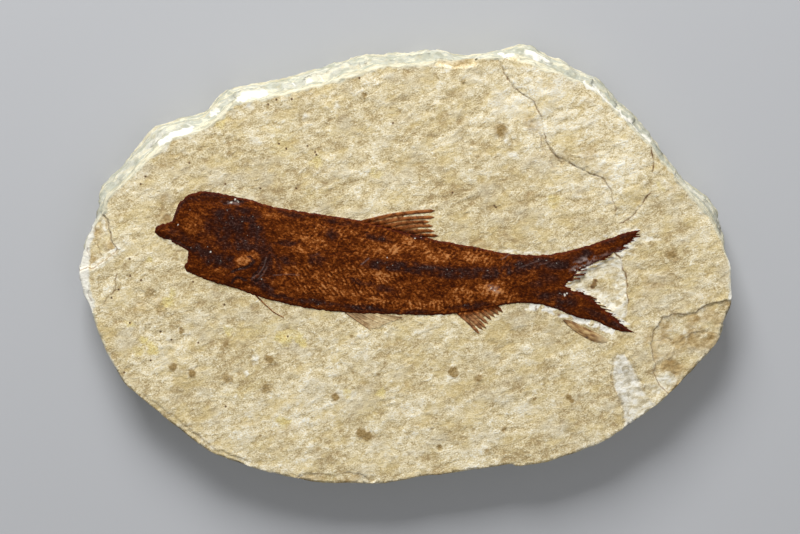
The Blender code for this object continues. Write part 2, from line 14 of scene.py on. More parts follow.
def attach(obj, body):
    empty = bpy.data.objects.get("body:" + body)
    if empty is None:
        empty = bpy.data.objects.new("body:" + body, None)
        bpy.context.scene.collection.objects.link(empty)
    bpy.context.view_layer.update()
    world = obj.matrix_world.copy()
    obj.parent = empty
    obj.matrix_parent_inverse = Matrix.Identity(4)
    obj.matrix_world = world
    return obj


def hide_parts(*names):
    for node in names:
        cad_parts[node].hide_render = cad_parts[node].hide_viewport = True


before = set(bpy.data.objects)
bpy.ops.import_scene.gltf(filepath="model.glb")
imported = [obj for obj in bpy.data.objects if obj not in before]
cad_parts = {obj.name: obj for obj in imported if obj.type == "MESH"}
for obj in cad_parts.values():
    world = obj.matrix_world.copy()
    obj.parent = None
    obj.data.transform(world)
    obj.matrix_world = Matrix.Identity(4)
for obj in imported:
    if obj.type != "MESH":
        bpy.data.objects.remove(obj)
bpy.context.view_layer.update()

MM = 0.001
FAR = 1.0e3

# Meshes: row height and jitter of a triangular grid in spacings, and how far lines are felt.
ROW_SHARE = 0.866
JITTER = 0.42
EDGE_REACH = 1.5
PLATE_BOX = ((-61.0, -42.0), (61.0, 42.0))
FISH_BOX = ((-47.0, -14.0), (45.0, 16.0))
FRAGMENT_BOX = ((28.0, -15.0), (39.0, -8.5))

# ---------------------------------------------------------------- the plate
FACE_Z = 9.0
WAVE_RISE = 0.16
WAVE_LENGTH = 9.0
COARSE_RISE = 0.09
COARSE_LENGTH = 3.6
GRAIN_TILT = 18.0

PLATE_OUTLINE = [
    (-61.3, -0.3), (-60.7, 2.6), (-59.9, 5.7), (-58.2, 9.8), (-57.2, 14.6), (-53.2, 18.6), (-49.5, 22.8),
    (-46.9, 25.8), (-42.7, 27.3), (-38.3, 28.8), (-33.6, 32.7), (-30.4, 33.6), (-24.4, 34.9), (-17.7, 36.6),
    (-12.0, 38.5), (-6.9, 39.7), (-1.8, 39.75), (5.7, 40.4), (10.0, 39.5), (16.0, 40.0), (20.6, 41.3),
    (22.8, 41.0), (28.2, 38.9), (31.1, 36.8), (34.8, 35.4), (39.4, 31.0), (43.5, 26.9), (46.8, 22.8),
    (51.1, 17.2), (56.4, 12.7), (59.1, 7.8), (60.0, 2.2), (60.4, -2.9), (60.7, -6.5), (59.2, -10.5),
    (57.9, -14.8), (52.9, -20.2), (47.2, -26.3), (41.0, -30.8), (36.2, -33.8), (29.1, -36.6), (21.5, -38.2),
    (20.3, -37.75), (16.1, -38.4), (10.4, -39.05), (4.6, -40.0), (-7.5, -41.6), (-19.9, -40.7),
    (-28.5, -38.5), (-36.3, -35.8), (-42.6, -31.1), (-49.2, -25.6), (-53.6, -21.4), (-57.0, -14.1),
    (-59.2, -7.7), (-60.8, -3.5),
]

# How far the face's edge and the back's edge stand inside the outline, by degrees around the plate.
FACE_INSET = [
    (0, 0.3), (4, 1.2), (8, 2.2), (13, 2.6), (17, 1.9), (21, 1.4), (26, 1.7), (32, 2.1), (44, 2.2),
    (50, 2.2), (56, 3.3), (61, 2.9), (65, 2.0), (69, 1.3), (74, 1.0), (80, 2.0), (86, 2.6), (95, 2.5),
    (103, 3.3), (143, 3.3), (148, 4.1), (153, 4.1), (158, 3.4), (163, 3.5), (168, 2.4), (174, 1.0),
    (190, 0.5), (230, 0.3), (300, 0.3),
]
BACK_INSET = [(0, 1.0), (40, 0.5), (90, 0.4), (150, 0.5), (190, 1.2), (230, 2.2), (270, 2.6), (320, 2.0)]

# Levels of the rim from the face down: height share, face inset share, back inset share, chipping.
RIM_LEVELS = [
    (1.0, 1.0, 0.0, 0.5),
    (0.965, 0.86, 0.00, 0.35), (0.79, 0.55, 0.10, 1.10), (0.75, 0.26, 0.16, 0.70), (0.45, 0.00, 0.42, 0.60),
    (0.12, 0.10, 0.86, 1.00), (0.00, 0.60, 1.25, 0.70),
]
CHIP_LENGTH = 5.2
RIM_STEPS = 720

# Heights where one thin layer of the rim ends and the next begins, from the top down.
LAYER_ENDS = [8.45, 7.85, 7.15, 6.7, 5.85, 5.0, 4.1, 3.15, 2.2, 1.15, 0.5]
LAYER_TONES = [0.05, 0.1, 0.6, 0.75, 0.5, 0.7, 0.35, 0.05, 0.5, 0.3, 0.65, 0.2]
FIRST_LAYER_TOP = FACE_Z - 0.28
THICK_LAYER = 0.7
LAYER_SETBACK = 0.5
LAYER_GAP = 0.05
LAYER_WAVER = 0.16
WHITENED_RINGS = 9
IRON_RIM = (50.0, -22.0, 22.0, 16.0, 35.0)
BACK_LOOKS = {"fresh": 0.35, "band": 0.3}

FACE_SPACING = 0.5
FINE_SPACING = 0.17
UNDER_FISH_SPACING = 0.9
UNDER_FISH_DEPTH = 0.35
BACK_SPACING = 1.05

# Cracks: line, half width, depth, darkness, pale lip on the left (1) or right (-1) of its course.
CRACK_A = [
    (16.4, 39.4), (18.0, 36.0), (20.2, 33.0), (22.8, 31.2), (24.0, 29.7), (24.8, 27.4), (25.2, 25.1),
    (26.1, 22.7), (27.2, 21.1), (29.1, 20.1), (31.1, 19.0), (33.3, 17.9), (35.9, 16.9), (37.5, 14.7),
    (38.1, 12.4), (38.6, 10.0),
]
CRACK_B = [(45.1, 23.3), (45.1, 21.4), (45.4, 19.4), (44.9, 16.7)]
CRACKS = {
    "crack_a": (CRACK_A, 0.12, 0.13, 0.72, 1),
    "crack_a_spur": ([(24.3, 25.3), (25.0, 23.2), (25.9, 20.9), (27.6, 18.4)], 0.14, 0.10, 0.45, 0),
    "crack_b": (CRACK_B, 0.14, 0.10, 0.9, 0),
    "crack_b_low": ([(45.1, 14.7), (43.0, 11.7), (41.4, 9.4), (39.0, 8.3)], 0.15, 0.14, 0.92, -1),
    "crack_left": ([
        (-53.2, -0.3), (-53.4, -1.8), (-53.7, -3.5), (-55.2, -5.9), (-56.8, -7.6),
    ], 0.13, 0.16, 0.7, 1),
    "crack_left_edge": ([
        (-56.9, 8.2), (-57.0, 6.4), (-56.6, 4.2), (-56.3, 2.6), (-56.0, 1.4),
    ], 0.12, 0.18, 0.7, 0),
    "crack_left_rib": ([(-58.4, 6.2), (-58.6, 3.6), (-58.3, 1.2)], 0.14, 0.18, 0.45, 1),
    "crack_left_low": ([(-58.5, -2.6), (-58.3, -5.0), (-57.5, -8.2)], 0.12, 0.14, 0.5, 0),
    "crack_low_right": ([(46.2, -13.9), (47.3, -13.6), (48.6, -13.4), (50.2, -13.8)], 0.14, 0.2, 0.5, 1),
    "crack_low_right_b": ([(47.3, -14.0), (47.2, -16.0), (47.3, -18.1)], 0.12, 0.12, 0.45, 0),
    "crack_rise": ([(55.0, -12.8), (55.9, -11.8), (56.7, -11.0)], 0.12, 0.15, 0.5, 1),
    "crack_bottom": ([(-4.9, -35.9), (-3.6, -36.6), (-2.7, -37.2)], 0.12, 0.15, 0.45, 0),
    "bruise_left": ([(38.6, -17.3), (38.4, -21.5), (39.9, -25.0)], 0.12, 0.08, 0.5, 0),
    "bruise_right": ([(41.2, -15.9), (42.4, -17.8), (43.1, -19.8)], 0.12, 0.08, 0.4, 1),
    "bruise_low": ([(44.5, -21.5), (44.8, -25.0)], 0.12, 0.08, 0.35, 1),
    "fork_arc": ([
        (38.2, 4.0), (39.7, 1.6), (40.8, -2.0), (41.0, -5.0), (41.2, -6.8), (40.8, -8.4), (41.0, -10.4),
    ], 0.14, 0.16, 0.9, -1),
}
UPPER_LAMINA_RISE = 0.34
UPPER_LAMINA_RAMP = 2.4
UPPER_LAMINA_RUN_IN = 4.0

# Flakes lost from the face: outline, depth, the floor's slope in degrees about X and Y, how tan the floor is
# and how dark the painted shade line round it, which stands for the shade of its step.
FLAKES = {
    "lower_right_flake": ([
        (63.0, -5.0), (58.6, -6.1), (57.2, -6.3), (55.4, -7.0), (53.5, -8.3), (51.9, -8.5), (49.5, -8.5),
        (47.7, -9.1), (46.9, -10.4), (45.9, -11.9), (45.6, -13.6), (45.8, -15.8), (46.2, -17.9),
        (46.2, -19.9), (47.1, -22.0), (49.4, -24.0), (53.0, -27.0), (63.0, -18.0),
    ], 0.32, (0.0, 0.8), 0.78, 0.62),
    "lower_right_inner_flake": ([
        (63.0, -8.0), (56.0, -11.6), (53.0, -12.2), (50.6, -13.9), (49.0, -17.2), (50.4, -21.0),
        (55.0, -24.0), (63.0, -16.0),
    ], 0.48, (0.0, 0.8), 0.78, 0.3),
    "left_flake": ([
        (-55.9, 10.4), (-54.4, 8.5), (-54.2, 5.6), (-53.1, 3.6), (-55.2, 1.6), (-57.4, 0.0), (-63.0, -0.6),
        (-63.0, 10.0),
    ], 0.6, (0.0, -4.0), 0.8, 0.62),
    "lower_left_lamina": ([
        (-48.8, -23.6), (-45.4, -26.4), (-42.1, -28.7), (-38.3, -32.2), (-35.7, -34.1), (-31.1, -35.9),
        (-29.0, -36.8), (-33.0, -41.0), (-44.0, -34.0), (-54.0, -26.0),
    ], 0.15, (0.0, 0.0), 0.5, 0.35),
    "bottom_lamina": ([
        (-20.4, -39.6), (-18.6, -39.0), (-12.9, -39.2), (-11.4, -38.8), (-8.8, -38.9), (-6.9, -40.0),
        (-5.8, -43.0), (-21.0, -43.0),
    ], 0.16, (0.0, 0.0), 0.7, 0.4),
    "top_chip": ([
        (5.1, 43.0), (5.4, 37.6), (9.1, 36.9), (13.0, 37.5), (13.7, 43.0),
    ], 0.9, (-6.0, 0.0), 1.0, 0.1),
    "top_right_chip": ([
        (17.8, 43.0), (18.4, 38.9), (21.1, 38.0), (24.6, 38.0), (26.6, 39.0), (27.0, 43.0),
    ], 1.2, (-8.0, 0.0), 0.1, 0.0),
    "crack_pit": ([
        (24.4, 24.9), (25.9, 23.4), (27.4, 21.3), (28.7, 19.6), (28.3, 18.0), (26.9, 18.6), (25.6, 20.6),
        (24.8, 22.6),
    ], 0.16, (0.0, 0.0), 0.3, 0.35),
    "grey_bruise": ([
        (39.4, -15.8), (40.8, -15.9), (42.2, -18.0), (43.2, -19.9), (44.9, -24.1), (47.4, -27.6),
        (41.0, -32.4), (40.4, -27.2), (39.7, -24.8), (38.4, -21.8), (38.3, -17.5),
    ], 0.2, (0.3, 0.2), 0.0, 0.22),
}

# Flakes lost from the back: outline and depth.
BACK_FLAKES = {
    "back_flake_right": ([
        (44.0, 30.0), (41.0, 18.0), (46.5, 6.0), (52.0, -3.0), (64.0, -6.0), (64.0, 30.0),
    ], 0.7),
    "back_flake_left": ([
        (-64.0, 8.0), (-50.0, 6.0), (-46.0, -4.0), (-49.5, -15.0), (-43.0, -26.0), (-64.0, -26.0),
    ], 0.9),
    "back_flake_top": ([(-22.0, 44.0), (-19.0, 32.6), (-8.0, 30.4), (3.0, 33.8), (7.0, 44.0)], 0.5),
}

# Stains: x, y, radius, strength.
OLIVE_SPOTS = [
    (-43.2, -18.6, 0.8, 0.85), (-39.7, -19.8, 0.85, 1.0), (-33.1, -20.9, 1.1, 0.6),
    (-33.3, -14.3, 0.6, 0.75), (-25.3, -17.1, 0.75, 0.95), (-26.1, -22.6, 1.1, 0.6),
    (-13.2, -24.2, 0.75, 0.85), (-9.9, -12.8, 0.45, 0.7), (-41.6, -11.7, 0.55, 0.8),
    (-45.1, -8.0, 0.9, 0.5), (-47.5, -4.8, 0.9, 0.5), (-4.9, -19.9, 0.45, 0.6), (8.9, -19.6, 0.95, 1.0),
    (13.7, -20.7, 0.75, 0.7), (23.9, -24.6, 0.4, 0.7), (30.4, -24.4, 0.55, 0.85), (31.0, -25.1, 0.45, 0.85),
    (4.9, -30.4, 0.4, 0.6), (6.2, -34.0, 0.6, 0.65), (49.1, 2.7, 1.0, 0.75), (17.4, 25.5, 1.25, 0.75),
    (23.5, 26.3, 1.4, 0.4), (10.4, 34.5, 0.55, 0.6), (-7.6, 32.1, 0.55, 0.85), (-32.2, 21.2, 0.6, 0.6),
    (52.6, -13.2, 0.6, 0.7), (34.6, -3.4, 0.5, 1.1), (34.85, -2.95, 0.5, 1.1), (35.1, -2.45, 0.4, 1.1),
    (18.4, -30.4, 0.5, 0.7), (-8.3, -31.3, 1.0, 0.95), (-7.1, -31.8, 0.9, 0.95), (56.9, -13.2, 0.5, 0.8),
    (49.8, -18.7, 1.3, 0.42),
]
TAN_SPOTS = [
    (49.9, -18.8, 1.6, 1.3), (48.8, -18.7, 1.4, 1.3), (50.8, -14.0, 1.4, 1.1), (53.6, -9.6, 1.0, 0.9),
    (56.6, -13.0, 1.0, 1.0), (48.0, -12.6, 1.0, 0.8), (45.2, -13.1, 0.9, 0.7), (54.6, -11.8, 1.0, 0.7),
    (15.4, -34.7, 0.7, 0.8), (14.1, 4.7, 1.2, 0.6), (12.4, 4.6, 0.8, 0.5), (15.6, 4.5, 0.8, 0.5),
    (27.2, 12.8, 1.1, 0.3), (-44.5, 13.2, 1.1, 0.6), (-44.1, 9.1, 1.4, 1.0), (-42.9, 11.6, 0.9, 0.4),
    (-49.0, -7.4, 1.6, 0.5), (-45.6, -6.0, 1.6, 0.5), (-17.6, 33.4, 1.6, 0.3), (29.0, 21.0, 1.5, 0.5),
    (33.5, 21.0, 1.8, 0.5), (-20.6, 23.6, 1.3, 0.4), (22.2, 27.2, 1.4, 0.5), (31.8, 14.4, 1.0, 0.4),
    (36.0, 17.6, 2.2, 0.35), (45.6, -2.8, 2.4, 0.46), (48.6, -1.4, 1.9, 0.36), (43.6, -5.0, 1.5, 0.34),
    (45.0, -12.0, 1.6, 0.4),
]
YELLOW_SPOTS = [
    (-43.9, -6.3, 1.2, 1.1), (-43.0, -4.5, 0.9, 0.9), (-48.4, -13.4, 1.1, 1.1), (-46.9, -15.1, 1.3, 1.2),
    (-49.6, -15.6, 0.9, 0.7), (-22.8, -13.0, 1.6, 1.1), (-19.4, -13.6, 1.4, 1.0), (-20.6, -12.2, 1.2, 0.8),
    (-32.9, -12.0, 0.9, 0.9), (-27.7, -11.6, 0.8, 0.8), (27.2, 12.8, 1.3, 0.8), (-47.1, 1.5, 0.9, 0.9),
    (-51.3, -10.3, 0.8, 0.8), (-33.6, 26.8, 1.4, 0.8), (-22.8, -29.2, 1.4, 1.0), (-4.6, -24.0, 0.9, 0.9),
    (-11.0, -23.8, 0.9, 0.8), (-16.2, 19.6, 1.2, 0.8), (-5.0, 17.6, 1.3, 0.7), (46.6, 15.2, 0.8, 0.8),
]
SPECKS = [
    (-23.5, 31.2), (-20.7, 31.3), (-23.1, 23.1), (-16.5, 21.6), (-16.3, 21.1), (-2.3, 26.9), (-20.0, 14.9),
    (-39.5, 19.6), (-47.6, 17.1), (-50.8, 1.8), (-50.8, -1.4), (-48.8, -2.2), (-39.2, -2.5), (-45.4, -11.9),
    (-51.0, -10.2), (-38.4, -14.0), (-47.3, -17.3), (-43.4, -13.4), (-52.3, -19.6), (-33.5, -6.8),
    (-21.8, -12.8), (-33.5, -26.1), (-25.0, 30.3), (-21.8, 22.2), (-17.9, 22.7), (-8.4, 35.1),
    (-16.2, 34.0), (-26.6, 14.9), (-33.0, 15.7), (-48.5, 15.7), (-54.3, -5.5), (-53.0, -4.0), (8.6, 14.1),
    (16.3, 11.7), (16.6, 11.4),
]
SPECK_RADIUS = 0.19
BLOTS = [
    (34.55, -3.5, 0.46, 0.9), (34.85, -2.95, 0.4, 0.85), (35.1, -2.4, 0.36, 0.9), (-43.8, 9.6, 0.8, 0.4),
]
PALE_SPOTS = [
    (-31.6, 28.6, 0.8, 1.0), (-43.9, 22.0, 0.8, 1.0), (-40.2, 21.8, 0.7, 0.9), (-18.3, 27.9, 0.9, 0.9),
    (-12.3, 30.1, 0.7, 0.9), (-28.4, 30.0, 0.7, 0.9), (-30.0, -20.2, 0.6, 1.1), (-28.1, -17.1, 0.9, 0.9),
    (-31.7, -24.2, 0.7, 1.0), (-17.9, -29.8, 0.8, 0.9), (18.2, 24.0, 0.9, 0.9), (19.6, 21.2, 0.8, 0.9),
    (22.2, 34.4, 0.8, 1.0), (26.2, 24.6, 0.8, 1.0), (48.3, -21.4, 1.8, 1.25), (49.8, -20.8, 0.9, 1.0),
    (46.9, -22.6, 1.2, 1.0), (44.0, -26.6, 2.4, 1.1), (42.4, -23.2, 1.4, 0.6), (38.6, -9.2, 0.7, 0.8),
    (24.6, 8.8, 1.0, 0.7),
]

# Pale scrapings in the fork of the tail and under its lower lobe, and the hollow of the fork.
FORK_SCRAPE = [
    (29.4, -3.7), (31.1, -2.0), (32.9, -0.3), (35.5, 0.6), (38.1, 2.3), (39.9, 3.8), (41.8, 5.1),
    (43.6, 6.6), (46.9, 5.3), (43.2, 5.0), (41.0, 3.1), (40.0, 1.6), (40.9, -2.0), (41.1, -5.0),
    (41.2, -6.8), (41.0, -9.3), (39.5, -9.4), (37.7, -7.8), (35.5, -6.2), (32.9, -5.6),
]
FORK_HOLLOW = (35.6, -2.9, 5.6, 5.8, 0.5)
UNDER_TAIL_SCRAPE = [
    (22.6, -7.1), (25.8, -7.45), (29.2, -8.6), (32.6, -9.8), (35.6, -10.75), (38.2, -11.8),
]
PALE_TICKS = [
    ([(43.4, 6.2), (45.2, 5.6), (47.0, 5.4)], 0.35), ([(40.2, 3.2), (41.2, 2.9), (42.0, 2.7)], 0.3),
    ([(20.8, 3.0), (26.0, 2.9), (31.1, 4.1), (37.0, 6.0), (42.4, 7.8)], 0.28),
    ([(17.4, 3.2), (19.3, 3.5), (21.0, 3.4)], 0.4),
]

# Facets where the rim breaks off the face, painted white as highlights where they catch the light: line and
# half width.
PAINTED_HIGHLIGHT_FACETS = [
    ([(-45.0, 23.2), (-42.2, 24.7), (-39.4, 25.7)], 0.6), ([(-35.8, 28.2), (-34.4, 29.2)], 0.45),
    ([(-30.2, 31.2), (-28.0, 31.8), (-25.8, 32.3)], 0.65), ([(17.0, 39.5), (19.2, 39.2)], 0.4),
    ([(22.7, 40.0), (24.8, 38.9)], 1.0), ([(25.6, 37.9), (27.4, 37.1)], 0.35),
    ([(32.4, 34.4), (36.4, 31.4), (40.6, 27.4), (44.8, 23.4)], 0.26),
    ([(-24.0, 32.9), (-14.0, 35.2)], 0.22),
]

CHALKY_MARGINS = [
    ([(-58.8, 8.4), (-59.6, 5.0), (-60.2, 1.5), (-60.4, -1.0), (-60.0, -4.0), (-59.3, -7.0)], 1.9),
    ([(-59.2, -9.0), (-57.8, -12.0), (-56.2, -15.4), (-54.0, -19.0)], 0.45),
    ([(59.9, 4.0), (60.3, -1.0), (60.4, -5.5)], 0.55),
]
CREAM_RIDGES = [([(-53.2, 3.4), (-55.2, 1.7), (-57.4, 0.1)], 0.8), ([(-55.6, 8.6), (-55.0, 6.4)], 0.4)]

# Looks with their spots and how far these waver, and looks with their lines and strength.
STAINS = [
    ("olive", OLIVE_SPOTS, 0.34), ("iron", TAN_SPOTS, 0.4), ("yellow", YELLOW_SPOTS, 0.9),
    ("cream", PALE_SPOTS, 0.6),
]
PALE_EDGES = [
    ("white", PAINTED_HIGHLIGHT_FACETS, 1.0), ("fresh", CHALKY_MARGINS, 1.0), ("white", CHALKY_MARGINS, 0.75),
    ("cream", CREAM_RIDGES, 1.0),
]

# Parts of the face that are paler than the rest: x, y, half length, half height, tilt, strength.
BRIGHT_AREAS = [
    (30.0, 26.0, 26.0, 11.0, -35.0, 1.0), (-2.0, 33.0, 30.0, 5.0, 3.0, 0.6),
    (-54.0, 2.0, 4.0, 2.2, 40.0, 0.8), (-38.0, -12.0, 9.0, 3.0, 20.0, 0.5),
    (-8.0, -30.0, 34.0, 11.0, 0.0, 0.4), (43.5, -26.0, 3.0, 4.0, 20.0, 0.9),
    (50.0, -24.5, 3.0, 1.6, 40.0, 0.8),
]

# ---------------------------------------------------------------- the fish
EDGE_RISE = 0.2
CROWN_RISE = 0.40
CROWN_WIDTH = 2.6
SPINE_RISE = 0.14
SPINE_WIDTH = 1.4
VERTEBRA_PITCH = 1.3
RIB_RISE = 0.075
EDGE_DROP = 0.45
SKIRT_WIDTH = 0.42
EDGE_SAMPLE = 0.12
EDGE_OFFSET = 0.07
FISH_SPACING = 0.165
FISH_MARGIN = 0.5
MERGE_GAP = 0.055

SNOUT = [
    (-40.8, 0.3), (-40.0, 2.9), (-42.7, 4.8), (-45.5, 6.3), (-46.1, 7.0), (-45.9, 7.8), (-44.7, 8.3),
    (-42.9, 8.9),
]
FISH_BACK = [
    (-42.4, 10.4), (-41.7, 12.0), (-40.4, 13.3), (-38.6, 14.1), (-36.4, 14.3), (-32.0, 13.6), (-27.7, 12.6),
    (-24.1, 11.5), (-15.0, 10.0), (-7.8, 8.8), (5.4, 5.4), (12.8, 4.0), (18.2, 2.9), (25.3, 2.5),
    (31.1, 3.6), (35.9, 5.1), (40.8, 6.8), (43.2, 7.2),
]
TAIL_FORK = [
    (42.3, 6.5), (41.3, 5.3), (39.6, 3.9), (38.2, 3.0), (36.9, 2.1), (35.4, 1.4), (34.1, 0.7), (32.6, 0.1),
    (31.4, -0.6), (30.9, -1.7), (29.9, -2.4), (29.3, -3.2), (30.3, -4.0), (31.6, -4.5), (32.9, -5.1),
    (34.2, -5.8), (35.3, -6.6), (36.7, -7.9), (38.0, -9.0), (39.4, -10.1), (40.8, -11.1),
]
FISH_BELLY = [
    (42.5, -12.1), (39.2, -11.7), (35.3, -10.0), (31.6, -9.1), (26.1, -7.0), (20.6, -6.5), (13.5, -7.8),
    (6.4, -8.7), (-6.0, -8.5), (-15.8, -7.8), (-25.0, -5.9), (-31.2, -3.8), (-35.7, -2.5), (-40.4, -0.6),
]
RAY_FAN_CENTRE = (14.0, -2.2)
TOOTH_PITCH = 0.5
TOOTH_LENGTH = (0.15, 2.1)
TOOTH_BLUNTNESS = 0.16

MIDLINE = [
    (-47.0, 7.2), (-38.0, 6.0), (-32.0, 4.6), (-20.0, 2.6), (-8.8, 1.2), (0.5, 0.3), (8.2, -0.7),
    (15.2, -0.8), (18.5, -0.5), (21.8, 1.0), (25.7, 1.0), (28.5, 0.8), (32.2, 2.1), (35.9, 3.3),
    (44.0, 6.0),
]

# Fin rays, each from root to tip; for each fin its rays, their width at the root, how much of it is left at
# the tip and the share of their length that film joins. The one pectoral ray has no film.
DORSAL_RAYS = [
    [(-8.6, 8.4), (-3.6, 9.7), (0.8, 10.4), (5.4, 10.8)], [(-7.0, 8.0), (-1.0, 9.2), (5.3, 9.6)],
    [(-5.0, 7.6), (-0.1, 8.5), (4.4, 8.75)], [(-3.0, 7.1), (1.8, 7.9), (5.0, 7.95)],
    [(-1.2, 6.4), (2.7, 7.0), (5.3, 7.0)], [(0.8, 5.8), (3.4, 6.2), (6.0, 6.1)],
]
ANAL_RAYS = [
    [(9.4, -8.0), (11.9, -10.3), (13.7, -12.3)], [(10.2, -7.8), (12.6, -9.9), (14.3, -11.5)],
    [(11.0, -7.7), (13.5, -9.9), (14.9, -11.2)], [(12.0, -7.6), (14.0, -9.3), (15.3, -10.4)],
    [(13.1, -7.4), (15.0, -8.8), (15.9, -9.7)], [(14.2, -7.2), (15.7, -8.4), (16.5, -9.1)],
    [(15.2, -7.0), (16.6, -8.1), (17.3, -8.7)], [(16.3, -6.8), (17.4, -7.7), (18.0, -8.2)],
]
PELVIC_RAYS = [
    [(-11.6, -7.8), (-9.2, -9.6), (-6.4, -11.6)], [(-10.4, -8.0), (-7.6, -9.9), (-4.9, -11.2)],
    [(-8.8, -8.1), (-6.0, -9.7), (-3.6, -10.6)], [(-7.0, -8.2), (-4.2, -9.3), (-2.0, -9.8)],
    [(-5.4, -8.2), (-3.0, -8.8), (-0.6, -9.2)],
]
FINS = {
    "dorsal": (DORSAL_RAYS, 0.84, 0.72, 0.55),
    "anal": (ANAL_RAYS, 0.72, 0.8, 0.7),
    "pelvic": (PELVIC_RAYS, 0.40, 0.40, 0.95),
}
PECTORAL = ([(-28.6, -4.0), (-27.2, -5.5), (-25.7, -7.0), (-24.2, -8.3), (-22.5, -9.2)], 0.26, 0.6)
PELVIC_PLACE = (-5.6, -9.8, 7.5, 2.6, -18.0)
ANAL_PLACE = (14.0, -9.6, 6.0, 3.6, 0.0)

# Skull bones: x, y, half length, half height, rise.
SKULL_BONES = [
    (-37.4, 9.2, 4.2, 3.8, 0.20), (-36.2, 3.0, 3.4, 2.6, 0.14), (-28.6, 1.6, 3.4, 4.2, 0.20),
    (-43.6, 6.4, 2.2, 1.0, 0.12), (-31.0, 9.4, 4.0, 2.6, 0.12), (-31.5, -2.2, 4.6, 1.1, 0.12),
    (-29.4, 1.6, 2.3, 1.1, 0.12),
]

# Patches of the fish: x, y, half length, half height, tilt in degrees, strength.
DARK_PATCHES = [
    (-33.5, 6.6, 6.0, 3.4, -18, 0.5), (-25.4, 1.6, 1.5, 4.2, 5, 0.5), (-33.0, 10.2, 2.6, 1.3, -5, 0.75),
    (-29.4, 9.9, 3.4, 1.6, -8, 0.85), (-31.2, 8.0, 3.0, 1.8, -15, 0.75), (-27.5, 7.0, 1.7, 2.8, 12, 0.75),
    (-29.6, 4.6, 3.8, 1.5, -12, 0.7), (-34.0, 8.2, 1.3, 1.7, 0, 0.5), (-37.3, 3.2, 2.4, 1.2, -28, 0.8),
    (-34.0, 1.5, 3.6, 1.6, -8, 0.75), (-26.8, 4.6, 1.6, 2.6, 10, 0.6), (-27.3, -2.3, 1.6, 0.8, 5, 0.8),
    (-25.6, -3.6, 1.8, 0.9, -20, 0.9), (-41.4, 6.2, 3.0, 1.0, -25, 0.45), (-21.8, 1.6, 1.8, 1.2, -10, 0.6),
    (-21.8, 4.8, 2.6, 0.7, 0, 0.6), (-16.4, 1.8, 1.8, 1.4, -20, 0.6), (-13.4, 6.4, 1.6, 1.2, -30, 0.55),
    (-5.2, 5.8, 3.2, 0.8, -14, 0.6), (1.5, 6.2, 2.6, 0.7, -14, 0.7), (-8.5, -2.4, 2.6, 0.6, -20, 0.5),
    (-4.0, -3.6, 3.2, 0.7, -16, 0.5), (29.4, -5.6, 2.4, 1.5, -20, 0.9), (26.0, -5.0, 2.4, 1.1, -10, 0.75),
    (21.0, 0.2, 3.4, 1.6, 0, 0.55), (26.4, -1.6, 2.2, 1.4, 0, 0.35), (24.0, -2.8, 1.8, 0.9, 0, 0.45),
    (32.6, 2.5, 2.2, 0.9, 22, 0.85), (28.8, 0.8, 2.2, 1.1, 8, 0.8), (28.6, -7.4, 1.6, 0.8, -14, 0.6),
    (-16.5, -6.3, 4.5, 0.6, -6, 0.8), (-8.0, -7.4, 4.4, 0.7, -3, 0.85), (0.5, -8.0, 4.4, 0.5, 0, 0.55),
    (12.0, -7.0, 4.0, 0.6, 6, 0.6), (-23.0, -5.2, 3.0, 0.6, -14, 0.7), (-20.5, 10.0, 3.2, 0.5, -10, 0.5),
    (-11.8, 8.6, 4.0, 0.6, -10, 0.45), (35.0, -8.4, 3.0, 0.6, -22, 0.5), (38.5, -10.4, 3.4, 0.6, -22, 0.75),
    (38.8, 5.6, 3.0, 0.6, 20, 0.6),
]
ORANGE_PATCHES = [
    (-38.6, 8.0, 2.8, 2.2, 0, 0.75), (-36.6, 6.2, 2.2, 1.4, -20, 0.7), (-29.9, 1.7, 2.6, 1.15, 18, 1.2),
    (-28.3, 2.4, 1.4, 1.0, 10, 1.1), (-24.3, 1.0, 0.45, 1.0, 10, 0.9), (-30.5, -2.3, 1.1, 0.38, -6, 0.95),
    (-33.4, -0.6, 2.4, 0.8, -14, 0.6), (-28.4, -3.5, 1.0, 0.4, -10, 0.6), (-24.9, 10.0, 2.2, 0.8, -18, 0.7),
    (-17.5, 5.6, 2.6, 1.0, -8, 0.6), (-19.8, 3.6, 1.8, 0.9, -30, 0.6), (-3.2, 3.6, 3.8, 1.2, -8, 0.65),
    (1.6, 4.8, 2.8, 1.0, -14, 0.75), (-4.5, -1.4, 2.4, 0.9, -24, 0.8), (6.0, 2.6, 3.0, 1.2, -10, 0.6),
    (13.0, 2.0, 3.6, 1.2, -8, 0.55), (15.5, -4.2, 3.0, 1.6, -8, 0.8), (10.0, -4.2, 3.0, 1.2, 0, 0.5),
    (-15.0, -2.6, 4.6, 1.8, -12, 0.45), (-11.6, -4.6, 2.4, 1.0, -8, 0.4), (-5.0, -6.0, 2.6, 0.7, 0, 0.6),
    (3.5, -6.4, 4.6, 0.9, 0, 0.5), (-22.0, 7.6, 3.2, 1.2, -12, 0.4), (20.0, -6.0, 2.6, 0.5, 6, 0.4),
]

